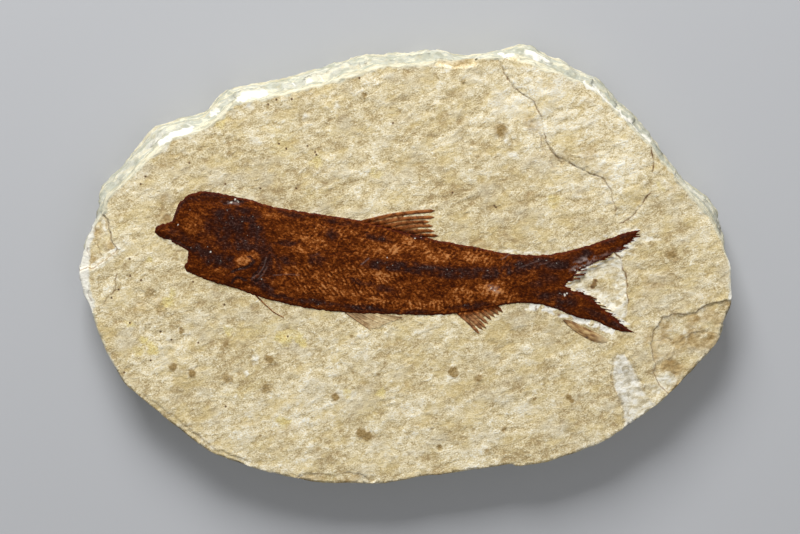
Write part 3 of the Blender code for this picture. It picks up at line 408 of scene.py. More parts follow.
# Lines on the fish: line, half width, strength. Their colour spreads wider than their form.
LINE_SPREAD = 1.6
DARK_LINES = [
    ([(-31.9, -0.7), (-31.2, -0.1), (-29.9, 0.15), (-28.9, 0.55), (-28.0, 1.3)], 0.16, 1.0),
    ([(-31.8, -2.4), (-31.2, -1.75), (-30.3, -1.6), (-29.4, -2.0)], 0.15, 0.9),
    ([(-28.9, 2.4), (-28.3, 2.0), (-27.8, 1.6)], 0.13, 0.9), ([(-28.6, 2.5), (-28.1, 1.4)], 0.12, 0.8),
    ([(-28.4, -1.9), (-27.1, -0.2), (-26.0, 1.9)], 0.14, 0.8),
    ([(-27.4, -2.5), (-26.0, -0.2), (-24.9, 2.6)], 0.14, 0.8),
    ([(-43.9, 5.9), (-42.0, 4.9), (-40.4, 4.1), (-38.8, 3.4)], 0.16, 0.8),
    ([(-33.2, 12.1), (-31.8, 12.35), (-29.6, 12.55)], 0.15, 0.9),
    ([(-42.9, 9.0), (-42.0, 11.0), (-40.6, 12.8)], 0.22, 0.7),
    ([(-40.5, 12.8), (-37.0, 13.8), (-33.0, 13.4)], 0.18, 0.4),
    ([(-25.9, 2.9), (-24.9, 3.6), (-23.6, 1.9), (-23.2, -0.2)], 0.3, 0.4),
]
PALE_LINES = [
    ([(-28.3, -1.7), (-27.0, -0.9), (-26.0, 0.6), (-25.6, 2.2)], 0.05, 0.28),
    ([(-27.2, -1.9), (-26.2, -1.0), (-25.5, 0.4)], 0.05, 0.25),
    ([(-24.4, -1.2), (-22.0, -1.0), (-19.6, -1.1)], 0.04, 0.28), ([(-8.2, 0.8), (-6.7, 2.0)], 0.05, 0.5),
    ([(17.6, 1.8), (18.4, 2.2), (19.3, 2.9)], 0.05, 0.35),
    ([(20.9, 0.2), (22.6, 0.9), (24.6, 1.5)], 0.05, 0.2), ([(24.6, 0.8), (26.2, 1.1)], 0.05, 0.2),
]

# Strokes on the body: slant, pitch, seed, shares of rise and look, and the limits that they fade in
# between: along the fish, up from the midline or up from the belly.
STROKES = {
    "ribs": (
        0.75, 0.95, 111, 1.0, 1.0,
        ("x", -24.0, -19.0), ("x", 6.0, -1.0), ("midline", -0.6, -1.4), ("belly", 2.0, 3.4),
    ),
    "spines": (-0.85, 1.05, 115, 0.8, 0.8, ("x", -22.0, -16.0), ("x", 24.0, 18.0), ("midline", 0.6, 1.4)),
    "short": (
        0.15, 0.85, 119, 1.1, 1.0,
        ("x", -13.0, -8.0), ("x", 14.0, 9.0), ("belly", 0.5, 1.0), ("belly", 3.4, 2.4),
    ),
    "rear": (-0.5, 1.0, 123, 0.7, 0.9, ("x", 7.0, 11.0), ("x", 23.0, 19.0), ("midline", -1.0, -1.8)),
}

# Greyish films over the bone: x, y, half length, half height, tilt, strength.
HAZES = [
    (33.2, 1.3, 2.8, 1.0, 18, 1.0), (31.0, -0.4, 1.0, 0.9, 0, 0.8), (16.3, -3.7, 1.6, 0.8, -20, 0.45),
    (37.4, 2.9, 2.4, 0.5, 22, 0.35), (-32.0, 12.2, 1.8, 0.5, -8, 0.4),
]

# Glints painted as pale specks, and by the fork a patch of pale grey-white crystals: x, y, radius; and the
# small painted glints strewn over the dark parts.
PAINTED_GLINTS_AND_CRYSTALS = [
    (-36.4, 4.4, 0.16), (-35.9, 3.3, 0.24), (-31.2, 12.7, 0.3), (-30.6, 12.5, 0.26), (-32.0, 12.3, 0.22),
    (-3.4, 2.1, 0.17), (-3.2, 1.2, 0.22), (1.9, 5.7, 0.17), (-2.3, 0.9, 0.14), (15.9, -3.6, 0.24),
    (16.4, -3.9, 0.18), (-37.7, 12.1, 0.14), (-39.7, 10.9, 0.12), (-29.8, 8.9, 0.16), (-29.0, 6.3, 0.13),
    (-26.6, -2.0, 0.16), (-27.9, -0.8, 0.14), (-41.9, 8.4, 0.13), (29.4, -4.9, 0.28), (29.9, -4.7, 0.22),
    (31.4, -0.4, 0.22), (32.2, 0.2, 0.26), (33.0, 0.7, 0.2), (31.9, -0.7, 0.2), (33.6, 0.2, 0.2),
]
MICRO_PAINTED_GLINT_SPACING = 0.9
MICRO_PAINTED_GLINT_RADIUS = 0.1

FRAGMENT = [
    (29.2, -9.8), (30.4, -9.7), (32.5, -10.7), (35.1, -12.0), (37.0, -13.0), (37.4, -13.8), (35.7, -14.0),
    (33.6, -13.2), (31.2, -11.7),
]
FRAGMENT_RISE = 0.12
FRAGMENT_TILT = -26.0

# ---------------------------------------------------------------- the view
VIEW_TARGET = (-1.01, 0.28, 9.0)
VIEW_DISTANCE = 409.6
VIEW_TILT = 10.0
LENS = 100.0

# ---------------------------------------------------------------- the studio, in metres
FLOOR_HALF = 4.0
FLOOR_COLOUR = (0.50, 0.51, 0.53)
PLAIN_SPECULAR = 0.5
WORLD_STRENGTH = 0.24

# Lights: place, size, energy.
LIGHTS = {
    "key": ((-0.14, 0.66, 0.42), 0.35, 7.5),
    "fill": ((0.35, -0.35, 0.75), 0.8, 1.3),
}


# ---------------------------------------------------------------- fields over the plane

def ease(value, low, high):
    """0 up to low, 1 from high on, eased between; low may be the larger."""
    t = np.clip((value - low) / (high - low), 0.0, 1.0)
    return t * t * (3.0 - 2.0 * t)


def lattice(column, row, seed):
    """The same value, 0 to 1, each time for a lattice point."""
    value = (column * 73856093) ^ (row * 19349663) ^ (seed * 83492791)
    value = ((value ^ (value >> 13)) * 1274126177) & 0x7FFFFFFF
    return ((value ^ (value >> 16)) & 0xFFFFF) / 0xFFFFF


def chance(column, row, seed):
    return float(lattice(np.int64(column), np.int64(row), seed))


def waves(x, y, length, seed):
    """Gradient noise, about -1 to 1, with lumps of the given length."""
    u, v = x / length, y / length
    column, row = np.floor(u).astype(np.int64), np.floor(v).astype(np.int64)
    fu, fv = u - column, v - row
    eased_u, eased_v = ease(fu, 0.0, 1.0), ease(fv, 0.0, 1.0)
    total = np.zeros(np.shape(u))
    for step_u, share_u in ((0, 1.0 - eased_u), (1, eased_u)):
        for step_v, share_v in ((0, 1.0 - eased_v), (1, eased_v)):
            turn = lattice(column + step_u, row + step_v, seed) * 2.0 * math.pi
            slope = np.cos(turn) * (fu - step_u) + np.sin(turn) * (fv - step_v)
            total += slope * share_u * share_v
    return total * 1.5


def cells(x, y, length, seed):
    """Distance to the nearest of scattered points, in lengths, and that point's value."""
    u, v = x / length, y / length
    column, row = np.floor(u).astype(np.int64), np.floor(v).astype(np.int64)
    nearest, value = np.full(np.shape(u), FAR), np.zeros(np.shape(u))
    for step_u in (-1, 0, 1):
        for step_v in (-1, 0, 1):
            at_u, at_v = column + step_u, row + step_v
            point_u = at_u + lattice(at_u, at_v, seed)
            point_v = at_v + lattice(at_u, at_v, seed + 1)
            distance = np.hypot(point_u - u, point_v - v)
            closer = distance < nearest
            value = np.where(closer, lattice(at_u, at_v, seed + 2), value)
            nearest = np.where(closer, distance, nearest)
    return nearest, value


def pits(x, y, length, seed, edge, middle, rarity):
    """1 in scattered round pits, easing to 0 at their edge."""
    nearest, value = cells(x, y, length, seed)
    return ease(nearest, edge, middle) * (value > rarity)


def turned(x, y, degrees):
    """The place in axes turned by the given angle."""
    turn = math.radians(degrees)
    return x * math.cos(turn) + y * math.sin(turn), y * math.cos(turn) - x * math.sin(turn)


def terraces(x, y, length, seed, step):
    """Thin steps like the edges of split layers."""
    level = waves(x, y, length, seed) * 2.2 + 0.5 * waves(x, y, length * 0.3, seed + 1)
    base = np.floor(level)
    return (base + ease(level - base, 0.42, 0.58)) * step


def wavered(x, y, amount):
    """Places moved a little, so that edges read through them run unevenly."""
    wavy_x = x + amount * waves(x, y, 1.7, 21) + 0.45 * amount * waves(x, y, 0.55, 22)
    wavy_y = y + amount * waves(x, y, 1.7, 23) + 0.45 * amount * waves(x, y, 0.55, 24)
    return wavy_x, wavy_y


def to_line(x, y, line, reach=FAR):
    """Distance to a line, side of it (1 left, -1 right) and length run along it."""
    line = np.asarray(line, float)
    distance, side, run = np.full(x.shape, FAR), np.ones(x.shape), np.zeros(x.shape)
    low, high = line.min(axis=0) - reach, line.max(axis=0) + reach
    near = (x > low[0]) & (x < high[0]) & (y > low[1]) & (y < high[1])
    px, py = x[near], y[near]
    best, best_side, best_run = distance[near], side[near], run[near]
    done = 0.0
    for (ax, ay), (bx, by) in zip(line[:-1], line[1:]):
        dx, dy = bx - ax, by - ay
        length = math.hypot(dx, dy)
        share = np.clip(((px - ax) * dx + (py - ay) * dy) / length ** 2, 0.0, 1.0)
        off_x, off_y = px - ax - share * dx, py - ay - share * dy
        gap = np.hypot(off_x, off_y)
        closer = gap < best
        best_side = np.where(closer, np.where(dx * off_y - dy * off_x >= 0, 1.0, -1.0), best_side)
        best_run = np.where(closer, done + share * length, best_run)
        best = np.where(closer, gap, best)
        done += length
    distance[near], side[near], run[near] = best, best_side, best_run
    return distance, side, run


def gap_to(x, y, line, reach):
    return to_line(x, y, line, reach)[0]


def inside(x, y, outline):
    """True for points inside the closed outline."""
    within = np.zeros(x.shape, bool)
    for (ax, ay), (bx, by) in zip(outline, np.roll(outline, -1, axis=0)):
        if ay == by:
            continue
        crosses = (ay > y) != (by > y)
        within ^= crosses & (x < ax + (y - ay) * (bx - ax) / (by - ay))
    return within


def depth_in(x, y, outline, reach=FAR):
    """Distance from the closed outline, positive inside it."""
    outline = np.asarray(outline, float)
    distance = gap_to(x, y, closed(outline), reach)
    return np.where(inside(x, y, outline), distance, -distance)


def spot(x, y, centre_x, centre_y, radius, edge, middle):
    """1 over the middle of a round spot, easing to 0; edge and middle are shares of the radius."""
    return ease(np.hypot(x - centre_x, y - centre_y) / radius, edge, middle)


def patch(x, y, centre_x, centre_y, half_length, half_height, tilt):
    """1 over the middle of a tilted ellipse, easing to 0 past its edge."""
    along, across = turned(x - centre_x, y - centre_y, tilt)
    return ease(np.hypot(along / half_length, across / half_height), 1.25, 0.35)


def patches_of(x, y, table, share=1.0):
    """The strongest of a table's patches at each place."""
    total = np.zeros(x.shape)
    for *place, strength in table:
        total = np.maximum(total, strength * share * patch(x, y, *place))
    return total


def soft_lines(x, y, table, spread=1.0):
    """Strength of each line in a table and its closeness, 1 on it and fading beside it."""
    for line, half_width, strength in table:
        yield strength, np.exp(-(gap_to(x, y, line, 1.0) / (spread * half_width)) ** 2)


def fan_of_rays(x, y):
    """Bearing and distance from the point that the tail's rays spread from."""
    off_x, off_y = x - RAY_FAN_CENTRE[0], y - RAY_FAN_CENTRE[1]
    return np.arctan2(off_y, off_x), np.hypot(off_x, off_y)


# ---------------------------------------------------------------- lines

def closed(line):
    """The line with its first point again at its end."""
    return np.vstack([line, line[:1]])


def smooth_line(points, loop=False, per_span=12):
    """Catmull-Rom line through the points."""
    points = np.asarray(points, float)
    count = len(points)
    first = np.arange(count if loop else count - 1)
    picks = [first - 1, first, first + 1, first + 2]
    picks = [pick % count if loop else np.clip(pick, 0, count - 1) for pick in picks]
    before, start, end, after = (points[pick][:, None, :] for pick in picks)
    t = (np.arange(per_span) / per_span)[None, :, None]
    line = 0.5 * (
        2 * start + (end - before) * t
        + (2 * before - 5 * start + 4 * end - after) * t ** 2
        + (3 * start - before - 3 * end + after) * t ** 3
    )
    line = line.reshape(-1, 2)
    return line if loop else np.vstack([line, points[-1:]])


def even_steps(line, step):
    """The same line with points at even steps."""
    line = np.asarray(line, float)
    run = np.concatenate([[0.0], np.cumsum(np.hypot(*np.diff(line, axis=0).T))])
    places = np.linspace(0.0, run[-1], max(2, int(run[-1] / step) + 1))
    return np.column_stack([np.interp(places, run, line[:, axis]) for axis in (0, 1)])


def length_of(line):
    return np.hypot(*np.diff(line, axis=0).T).sum()


def beside(line, offset):
    """The line, and the same line moved to its left and to its right."""
    along = np.gradient(line, axis=0)
    along /= np.maximum(np.hypot(*along.T), 1e-9)[:, None]
    push = np.column_stack([-along[:, 1], along[:, 0]]) * offset
    return [line, line + push, line - push]


def around(table, degrees):
    """Eased reading of a table that repeats every 360 degrees."""
    keys = np.array([key for key, _ in table] + [table[0][0] + 360])
    values = np.array([value for _, value in table] + [table[0][1]])
    place = np.clip(np.searchsorted(keys, degrees, side="right") - 1, 0, len(table) - 1)
    share = ease(degrees, keys[place], keys[place + 1])
    return values[place] + (values[place + 1] - values[place]) * share


# ---------------------------------------------------------------- meshes

def scattered(box, spacing, seed):
    """A jittered triangular grid over a box."""
    (low_x, low_y), (high_x, high_y) = box
    columns = np.arange(low_x, high_x, spacing)
    rows = np.arange(low_y, high_y, spacing * ROW_SHARE)
    x, y = np.meshgrid(columns, rows)
    x = x + (np.arange(len(rows)) % 2)[:, None] * spacing / 2
    column, row = np.meshgrid(np.arange(len(columns)), np.arange(len(rows)))
    x = x + (lattice(column, row, seed) - 0.5) * spacing * JITTER
    y = y + (lattice(column, row, seed + 1) - 0.5) * spacing * JITTER
    return x.ravel(), y.ravel()


def triangles(points, boundary_count=0):
    """Triangles through the points, kept inside the boundary that the first ones make, if there is one."""
    loop = [list(range(boundary_count))] if boundary_count else []
    made = delaunay_2d_cdt([Vector(point) for point in points.tolist()], [], loop, 1 if loop else 0, 1e-7)
    sources = [source[0] for source in made[3]]
    return np.array([[sources[corner] for corner in face] for face in made[2]])


def facing(faces, points, up):
    """The faces wound so that they look up, or down."""
    a, b, c = (points[faces[:, corner]] for corner in (0, 1, 2))
    turn = (b[:, 0] - a[:, 0]) * (c[:, 1] - a[:, 1]) - (b[:, 1] - a[:, 1]) * (c[:, 0] - a[:, 0])
    wrong = (turn < 0) if up else (turn > 0)
    faces = faces.copy()
    faces[wrong] = faces[wrong][:, ::-1]
    return faces


def apart(points, gap):
    """The points with those dropped that fall in a square already taken."""
    squares = np.floor(points / gap).astype(np.int64)
    _, first = np.unique(squares, axis=0, return_index=True)
    return points[np.sort(first)]


def make_piece(name, points, faces, looks, node, slot, material):
    """An object from the used points, in millimetres, with its looks as attributes."""
    used, faces = np.unique(faces, return_inverse=True)
    mesh = bpy.data.meshes.new(name)
    mesh.from_pydata((points[used] * MM).tolist(), [], faces.reshape(-1, 3).tolist())
    for look, values in looks.items():
        attribute = mesh.attributes.new(look, "FLOAT", "POINT")
        attribute.data.foreach_set("value", np.clip(values[used], 0.0, 1.0).astype(np.float32))
    mesh.shade_smooth()
    mesh.materials.append(material)
    obj = bpy.data.objects.new(name, mesh)
    bpy.context.scene.collection.objects.link(obj)
    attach(obj, "root")
    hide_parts(node)


# ---------------------------------------------------------------- form of the plate

LOOKS = ("fresh", "iron", "yellow", "dark", "olive", "grey", "cream", "band", "white", "bright")
CRACK_A_COURSE = np.array(sorted((y, x) for x, y in CRACK_A))
BEARINGS = np.arange(RIM_STEPS) * 360.0 / RIM_STEPS
COSINES, SINES = np.cos(np.radians(BEARINGS)), np.sin(np.radians(BEARINGS))


def no_looks(x):
    return {name: np.zeros(x.shape) for name in LOOKS}


def show(looks, name, amount):
    looks[name] = np.maximum(looks[name], amount)


def smooth_noise(x, y, layer, length):
    """Noise that the plate's solid shares."""
    return np.array([noise.noise(Vector((px, py, layer)) / length) for px, py in zip(x, y)])


def plate_height(x, y):
    """The cleaved face without its grain: slow waves and the layer that stands higher beyond crack A."""
    past = x - np.interp(y, *CRACK_A_COURSE.T)
    above_end = np.clip((y - CRACK_A[-1][1]) / UPPER_LAMINA_RUN_IN, 0.0, 1.0)
    rise = 0.45 * ease(past, -0.05, 0.14) + 0.55 * np.clip(past / UPPER_LAMINA_RAMP, 0.0, 1.0)
    slow = WAVE_RISE * smooth_noise(x, y, 0.0, WAVE_LENGTH)
    coarse = COARSE_RISE * smooth_noise(x, y, 40.0, COARSE_LENGTH)
    return FACE_Z + slow + coarse + UPPER_LAMINA_RISE * rise * above_end


def grain(x, y):
    """The dimpled skin of the cleaved stone, drawn out a little to the upper right."""
    along, across = turned(x, y, GRAIN_TILT)
    lumps = 0.060 * waves(along / 1.5, across, 1.7, 3) + 0.055 * waves(along / 1.25, across, 0.8, 4)
    pitted = 0.09 * pits(x, y, 2.4, 5, 0.34, 0.12, 0.5) + 0.055 * pits(x, y, 1.25, 14, 0.34, 0.14, 0.6)
    return lumps - pitted + 0.028 * waves(x, y, 0.45, 8)


def cut_flakes(x, y, height, looks):
    """Lowers the face where flakes are lost, and shows their floors, pale lips and outlines, the outlines
    drawn dark as painted shade of the step.
    """
    wavy_x, wavy_y = wavered(x, y, 0.3)
    patchy = waves(x, y, 2.6, 31)
    drawn_share = 0.6 + 0.4 * ease(waves(x, y, 2.2, 35), -0.4, 0.2)
    skin = height
    for number, (outline, depth, slopes, tan, line) in enumerate(FLAKES.values()):
        within = depth_in(wavy_x, wavy_y, outline, EDGE_REACH)
        middle = np.mean(outline, axis=0)
        tilt_x, tilt_y = (math.tan(math.radians(slope)) for slope in slopes)
        floor = skin - depth + tilt_x * (y - middle[1]) - tilt_y * (x - middle[0])
        floor = floor + terraces(x, y, 5.5, 40 + number, 0.06)
        drop = np.minimum(floor, height) - height
        height = height + drop * ease(within, -0.25, 0.35)
        show(looks, "iron", tan * ease(within, -0.05, 0.5) * (0.5 + 1.1 * patchy))
        lip = ease(np.abs(within + 0.15), 0.5, 0.1) * ease(waves(x, y, 3.4, 33 + number), -0.3, 0.3)
        show(looks, "fresh", 0.42 * lip)
        # a dark line round each flake: painted shade of the step down to its floor
        show(looks, "dark", line * ease(np.abs(within - 0.05), 0.2, 0.03) * drawn_share)
    return height


def cut_cracks(x, y, height, looks):
    """Sinks the cracks' grooves and shows their dark lines and pale lips."""
    wavy_x, wavy_y = wavered(x, y, 0.32)
    patchy = ease(waves(x, y, 2.0, 36), -0.45, 0.3)
    for line, half_width, depth, darkness, lip_side in CRACKS.values():
        line = smooth_line(line, per_span=4)
        distance, side, run = to_line(wavy_x, wavy_y, line, EDGE_REACH)
        ends = ease(run, 0.0, 1.0) * ease(length_of(line) - run, 0.0, 1.0)
        groove = np.exp(-(distance / half_width) ** 2) * (0.35 + 0.65 * ends)
        height = height - 0.4 * depth * groove
        show(looks, "dark", darkness * groove * (0.3 + 0.7 * patchy))
        if lip_side:
            lip = ease(distance, 0.75, 0.2) * (side == lip_side) * patchy
            show(looks, "fresh", 0.55 * lip * (1.0 - groove))
    return height


def scrape_tail(x, y, height, looks):
    """The pale hollow in the fork, scraped along the rays, and the pale strip under the lower lobe."""
    wavy_x, wavy_y = wavered(x, y, 0.35)
    centre_x, centre_y, half_x, half_y, depth = FORK_HOLLOW
    bowl = np.clip(1.0 - ((x - centre_x) / half_x) ** 2 - ((y - centre_y) / half_y) ** 2, 0.0, 1.0)
    within = depth_in(wavy_x, wavy_y, FORK_SCRAPE, EDGE_REACH)
    scraped = ease(within, -0.15, 0.3)
    turn, reach = fan_of_rays(x, y)
    combed = waves(turn * 22.0, reach / 4.0, 0.55, 39)
    height = height - depth * np.sqrt(bowl) * scraped - 0.05 * scraped * combed
    show(looks, "cream", scraped * (0.3 + 0.7 * ease(within, 3.2, 0.6) + 0.35 * combed))
    near_teeth = gap_to(wavy_x, wavy_y, TAIL_FORK, 2.0)
    show(looks, "white", 0.95 * ease(near_teeth, 1.7, 0.4) * ease(combed, -0.3, 0.3))
    under = gap_to(wavy_x, wavy_y, UNDER_TAIL_SCRAPE, 2.0)
    show(looks, "white", 0.9 * ease(under, 1.05, 0.35) * ease(waves(x, y, 1.1, 41), -0.7, 0.1))
    pitted = ease(waves(x, y, 0.7, 45), 0.25, 0.6) * ease(np.abs(under - 0.3), 0.5, 0.1)
    show(looks, "dark", 0.6 * pitted)
    for line, half_width in PALE_TICKS:
        gap = gap_to(wavy_x, wavy_y, line, EDGE_REACH)
        show(looks, "cream", 0.8 * ease(gap, half_width * 1.6, half_width * 0.4))
    return height


def stain(x, y, looks):
    """Spots, specks, the bruise and the wide changes of colour."""
    uneven = 0.95 + 0.35 * waves(x, y, 0.8, 44)
    for name, spots, waver in STAINS:
        wavy_x, wavy_y = wavered(x, y, waver)
        for *place, strength in spots:
            show(looks, name, strength * spot(wavy_x, wavy_y, *place, 1.4, 0.5) * uneven)
    for centre in SPECKS:
        show(looks, "dark", spot(x, y, *centre, SPECK_RADIUS, 1.5, 0.6))
    for *place, strength in BLOTS:
        show(looks, "dark", strength * spot(x, y, *place, 1.4, 0.4) * uneven)
    bruise = depth_in(*wavered(x, y, 0.2), FLAKES["grey_bruise"][0], EDGE_REACH)
    show(looks, "grey", 0.85 * ease(bruise, -0.2, 0.7))
    along, across = turned(x, y, GRAIN_TILT)
    yellowish = ease(waves(along / 1.8, across, 5.2, 37), 0.1, 0.75) * 0.45
    show(looks, "yellow", yellowish * ease(x, 40.0, -10.0))
    show(looks, "iron", ease(waves(along / 1.6, across, 3.4, 38), 0.25, 0.85) * 0.35)
    show(looks, "bright", patches_of(x, y, BRIGHT_AREAS))


def whiten(x, y, looks):
    """The chalky margins, and the highlights painted white on the facets where the rim breaks off."""
    wavy_x, wavy_y = wavered(x, y, 0.35)
    for name, lines, strength in PALE_EDGES:
        for line, half_width in lines:
            gap = gap_to(wavy_x, wavy_y, line, 2.5)
            show(looks, name, strength * ease(gap, half_width * 1.25, half_width * 0.7))


def face_form(x, y):
    """Height of the face and how far each look shows on it."""
    looks = no_looks(x)
    height = plate_height(x, y) + grain(x, y)
    for carve in (cut_flakes, cut_cracks, scrape_tail):
        height = carve(x, y, height, looks)
    stain(x, y, looks)
    whiten(x, y, looks)
    return height, looks


def level_reaches():
    """Reach of the plate at the face's edge and at each level of its rim, all round."""
    outline = smooth_line(PLATE_OUTLINE, loop=True, per_span=3)
    bearing = np.degrees(np.arctan2(outline[:, 1], outline[:, 0]))
    radius = np.interp(BEARINGS, *zip(*sorted(zip(bearing, np.hypot(*outline.T)))), period=360.0)
    face_inset, back_inset = around(FACE_INSET, BEARINGS), around(BACK_INSET, BEARINGS)
    reaches = []
    for level, (_, face_share, back_share, chipping) in enumerate(RIM_LEVELS):
        scallop = np.array([
            1.0 - min(1.0, noise.voronoi(Vector((u, v, level * 0.37)))[0][0])
            for u, v in zip(COSINES * radius / CHIP_LENGTH, SINES * radius / CHIP_LENGTH)
        ])
        inset = face_inset * face_share + back_inset * back_share
        reaches.append(radius - inset - chipping * scallop)
    return np.array(reaches)


def reach_at(reaches, height):
    """Reach all round at one height."""
    heights = [FACE_Z * share for share, *_ in RIM_LEVELS]
    level = next(i for i in range(len(heights) - 1) if height >= heights[i + 1] - 1e-9)
    share = (heights[level] - height) / (heights[level] - heights[level + 1])
    return reaches[level] * (1.0 - share) + reaches[level + 1] * share


def rim_rings(reaches):
    """(x, y, z, band) of each ring of the rim under the face's edge: thin layers with uneven fronts."""
    x, y = COSINES * 50.0, SINES * 50.0
    seams = [waves(x, y + 40.0 * seam, 4.0, 95) for seam in range(len(LAYER_TONES) + 1)]
    rings = []
    for number, (top, bottom) in enumerate(zip([FIRST_LAYER_TOP] + LAYER_ENDS, LAYER_ENDS + [0.0])):
        own_x = x + 130.0 * (number + 1)
        front = waves(own_x, y, 5.0, 60 + number)
        broken = cells(own_x, y, 3.4, 98)[1]
        setback = LAYER_SETBACK * (0.6 * ease(front, -0.12, 0.16) + 0.6 * broken)
        setback += 0.16 * waves(own_x, y, 1.2, 90)
        band = np.clip(LAYER_TONES[number] + 0.28 * waves(own_x, y, 9.0, 75 + number), 0.0, 1.0)
        for step in (0.0, 0.5, 1.0) if top - bottom > THICK_LAYER else (0.0, 1.0):
            height = top + (bottom - top) * step
            if height > 0.0:
                height += LAYER_GAP * (2.0 * step - 1.0)
            waver = LAYER_WAVER * (seams[number] * (1.0 - step) + seams[number + 1] * step)
            rough = 0.14 * waves(x, y + 17.0 * number + 9.0 * step, 0.9, 97)
            reach = reach_at(reaches, max(height, 0.0)) - setback * (height > 0.05) + rough
            z = height + (waver if 0.3 < height < 8.3 else 0.0)
            rings.append((COSINES * reach, SINES * reach, z, band))
    return rings


def back_height(x, y):
    """The back: a nearly flat split with shallow flakes, resting on its high spots."""
    wavy_x, wavy_y = wavered(x, y, 0.5)
    height = 0.04 * (1.0 + waves(x, y, 1.6, 51)) + np.maximum(0.0, terraces(x, y, 14.0, 52, 0.16))
    for outline, depth in BACK_FLAKES.values():
        within = depth_in(wavy_x, wavy_y, outline, EDGE_REACH)
        floor = depth + terraces(x, y, 6.0, 53, 0.1)
        height = np.maximum(height, floor * ease(within, -0.1, 0.5))
    return np.maximum(height, 0.0)


def near_lines(x, y):
    """True where the face needs fine points."""
    fine = np.zeros(x.shape, bool)
    lines = [(line, 0.7, 0.62) for line, *_ in CRACKS.values()]
    lines += [(closed(outline), 0.8, 0.7) for outline, *_ in FLAKES.values()]
    lines += [(line, 0.8, 0.75) for line in (closed(FORK_SCRAPE), UNDER_TAIL_SCRAPE, PALE_TICKS[0][0])]
    for line, reach, margin in lines:
        fine |= gap_to(x, y, line, reach) < margin
    spots = [(*centre, 0.0) for centre in SPECKS] + [place for *place, _ in OLIVE_SPOTS + BLOTS]
    for centre_x, centre_y, radius in spots:
        fine |= np.hypot(x - centre_x, y - centre_y) < radius + 0.5
    return fine


def room_in_face(x, y, edge_reach, shift):
    """Distance to the face's edge, straight away from the plate's middle."""
    off_x, off_y = x - shift[0], y - shift[1]
    bearing = np.degrees(np.arctan2(off_y, off_x)) % 360
    return np.interp(bearing, BEARINGS, edge_reach, period=360.0) - np.hypot(off_x, off_y)


def face_points(edge_reach, shift):
    """Inner points of the face: fine beside edges, cracks and the fish, coarse under the fish."""
    kept = []
    for spacing, seed in ((FINE_SPACING, 101), (FACE_SPACING, 103), (UNDER_FISH_SPACING, 105)):
        x, y = scattered(PLATE_BOX, spacing, seed)
        room = room_in_face(x, y, edge_reach, shift)
        within = room > 0.45 * spacing
        x, y, room = x[within], y[within], room[within]
        depth = fish_depth(x, y)
        fine = near_lines(x, y) | (np.abs(depth - 0.05) < 0.4) | ((room < 0.5) & (y > 0))
        under = (depth > 0.45) & ~fine
        wanted = {FINE_SPACING: fine, FACE_SPACING: ~fine & ~under, UNDER_FISH_SPACING: under}[spacing]
        kept.append(np.column_stack([x, y, depth])[wanted])
    return np.vstack(kept)


class Shell:
    """Points, faces and looks gathered for one mesh."""

    def __init__(self):
        self.points, self.faces, self.looks = [], [], []

    def add(self, xy, z, looks):
        """Takes the points in and gives their numbers."""
        start = sum(map(len, self.points))
        self.points.append(np.column_stack([xy, z]))
        self.looks.append(looks)
        return np.arange(start, start + len(xy))

    def join(self, above, below):
        """Faces between two rings."""
        next_above, next_below = np.roll(above, -1), np.roll(below, -1)
        self.faces.append(np.column_stack([above, below, next_below]))
        self.faces.append(np.column_stack([above, next_below, next_above]))

    def gathered(self):
        looks = {name: np.concatenate([part[name] for part in self.looks]) for name in LOOKS}
        return np.vstack(self.points), np.vstack(self.faces), looks


def add_face(shell, edge, edge_reach, shift):
    """The front face; its edge comes first."""
    inner = face_points(edge_reach, shift)
    xy = np.vstack([edge, inner[:, :2]])
    x, y = xy.T
    height, looks = face_form(x, y)
    depth = np.concatenate([np.full(RIM_STEPS, -FAR), inner[:, 2]])
    height = height - UNDER_FISH_DEPTH * ease(depth, 0.25, 0.6)
    room = room_in_face(x, y, edge_reach, shift) + 0.45 * waves(x, y, 1.4, 43)
    show(looks, "fresh", 0.9 * ease(room, 0.75, 0.05) * ease(y, -34.0, -8.0))
    shell.faces.append(facing(triangles(xy, RIM_STEPS), xy, up=True))
    return shell.add(xy, height, looks)[:RIM_STEPS]


def add_rim(shell, above, reaches, shift):
    """Rings from the face's edge down to the back, and the outline of the lowest."""
    for number, (x, y, z, band) in enumerate(rim_rings(reaches)):
        x, y = x + shift[0], y + shift[1]
        ceiling = face_form(x, y)[0]
        z = np.maximum(np.minimum(z, ceiling - 0.05 - 0.02 * number), 0.0)
        looks = no_looks(x)
        looks["fresh"] = np.ones(x.shape)
        looks["band"] = band
        looks["iron"] = 0.55 * patch(x, y, *IRON_RIM)
        # the top rings also take the chalky margins and the painted highlights of the broken facets
        if number < WHITENED_RINGS:
            whiten(x, y, looks)
        below = shell.add(np.column_stack([x, y]), z, looks)
        shell.join(above, below)
        above = below
    return above, np.column_stack([x, y])


def add_back(shell, lowest, low_ring):
    x, y = scattered(PLATE_BOX, BACK_SPACING, 107)
    xy = np.column_stack([x, y])[depth_in(x, y, low_ring) > 0.4]
    looks = no_looks(xy[:, 0])
    for name, amount in BACK_LOOKS.items():
        looks[name] = np.full(len(xy), amount)
    shell.add(xy, back_height(*xy.T), looks)
    whole = np.vstack([low_ring, xy])
    shell.faces.append(facing(triangles(whole, RIM_STEPS), whole, up=False) + lowest[0])


def make_plate(material):
    reaches = level_reaches()
    spread = reaches * COSINES, reaches * SINES
    shift = [-(places.min() + places.max()) / 2 for places in spread]
    edge = np.column_stack([places[0] + offset for places, offset in zip(spread, shift)])
    shell = Shell()
    above = add_face(shell, edge, reaches[0], shift)
    add_back(shell, *add_rim(shell, above, reaches, shift))
    make_piece("plate", *shell.gathered(), "slab", "limestone", material)


# ---------------------------------------------------------------- form of the fish

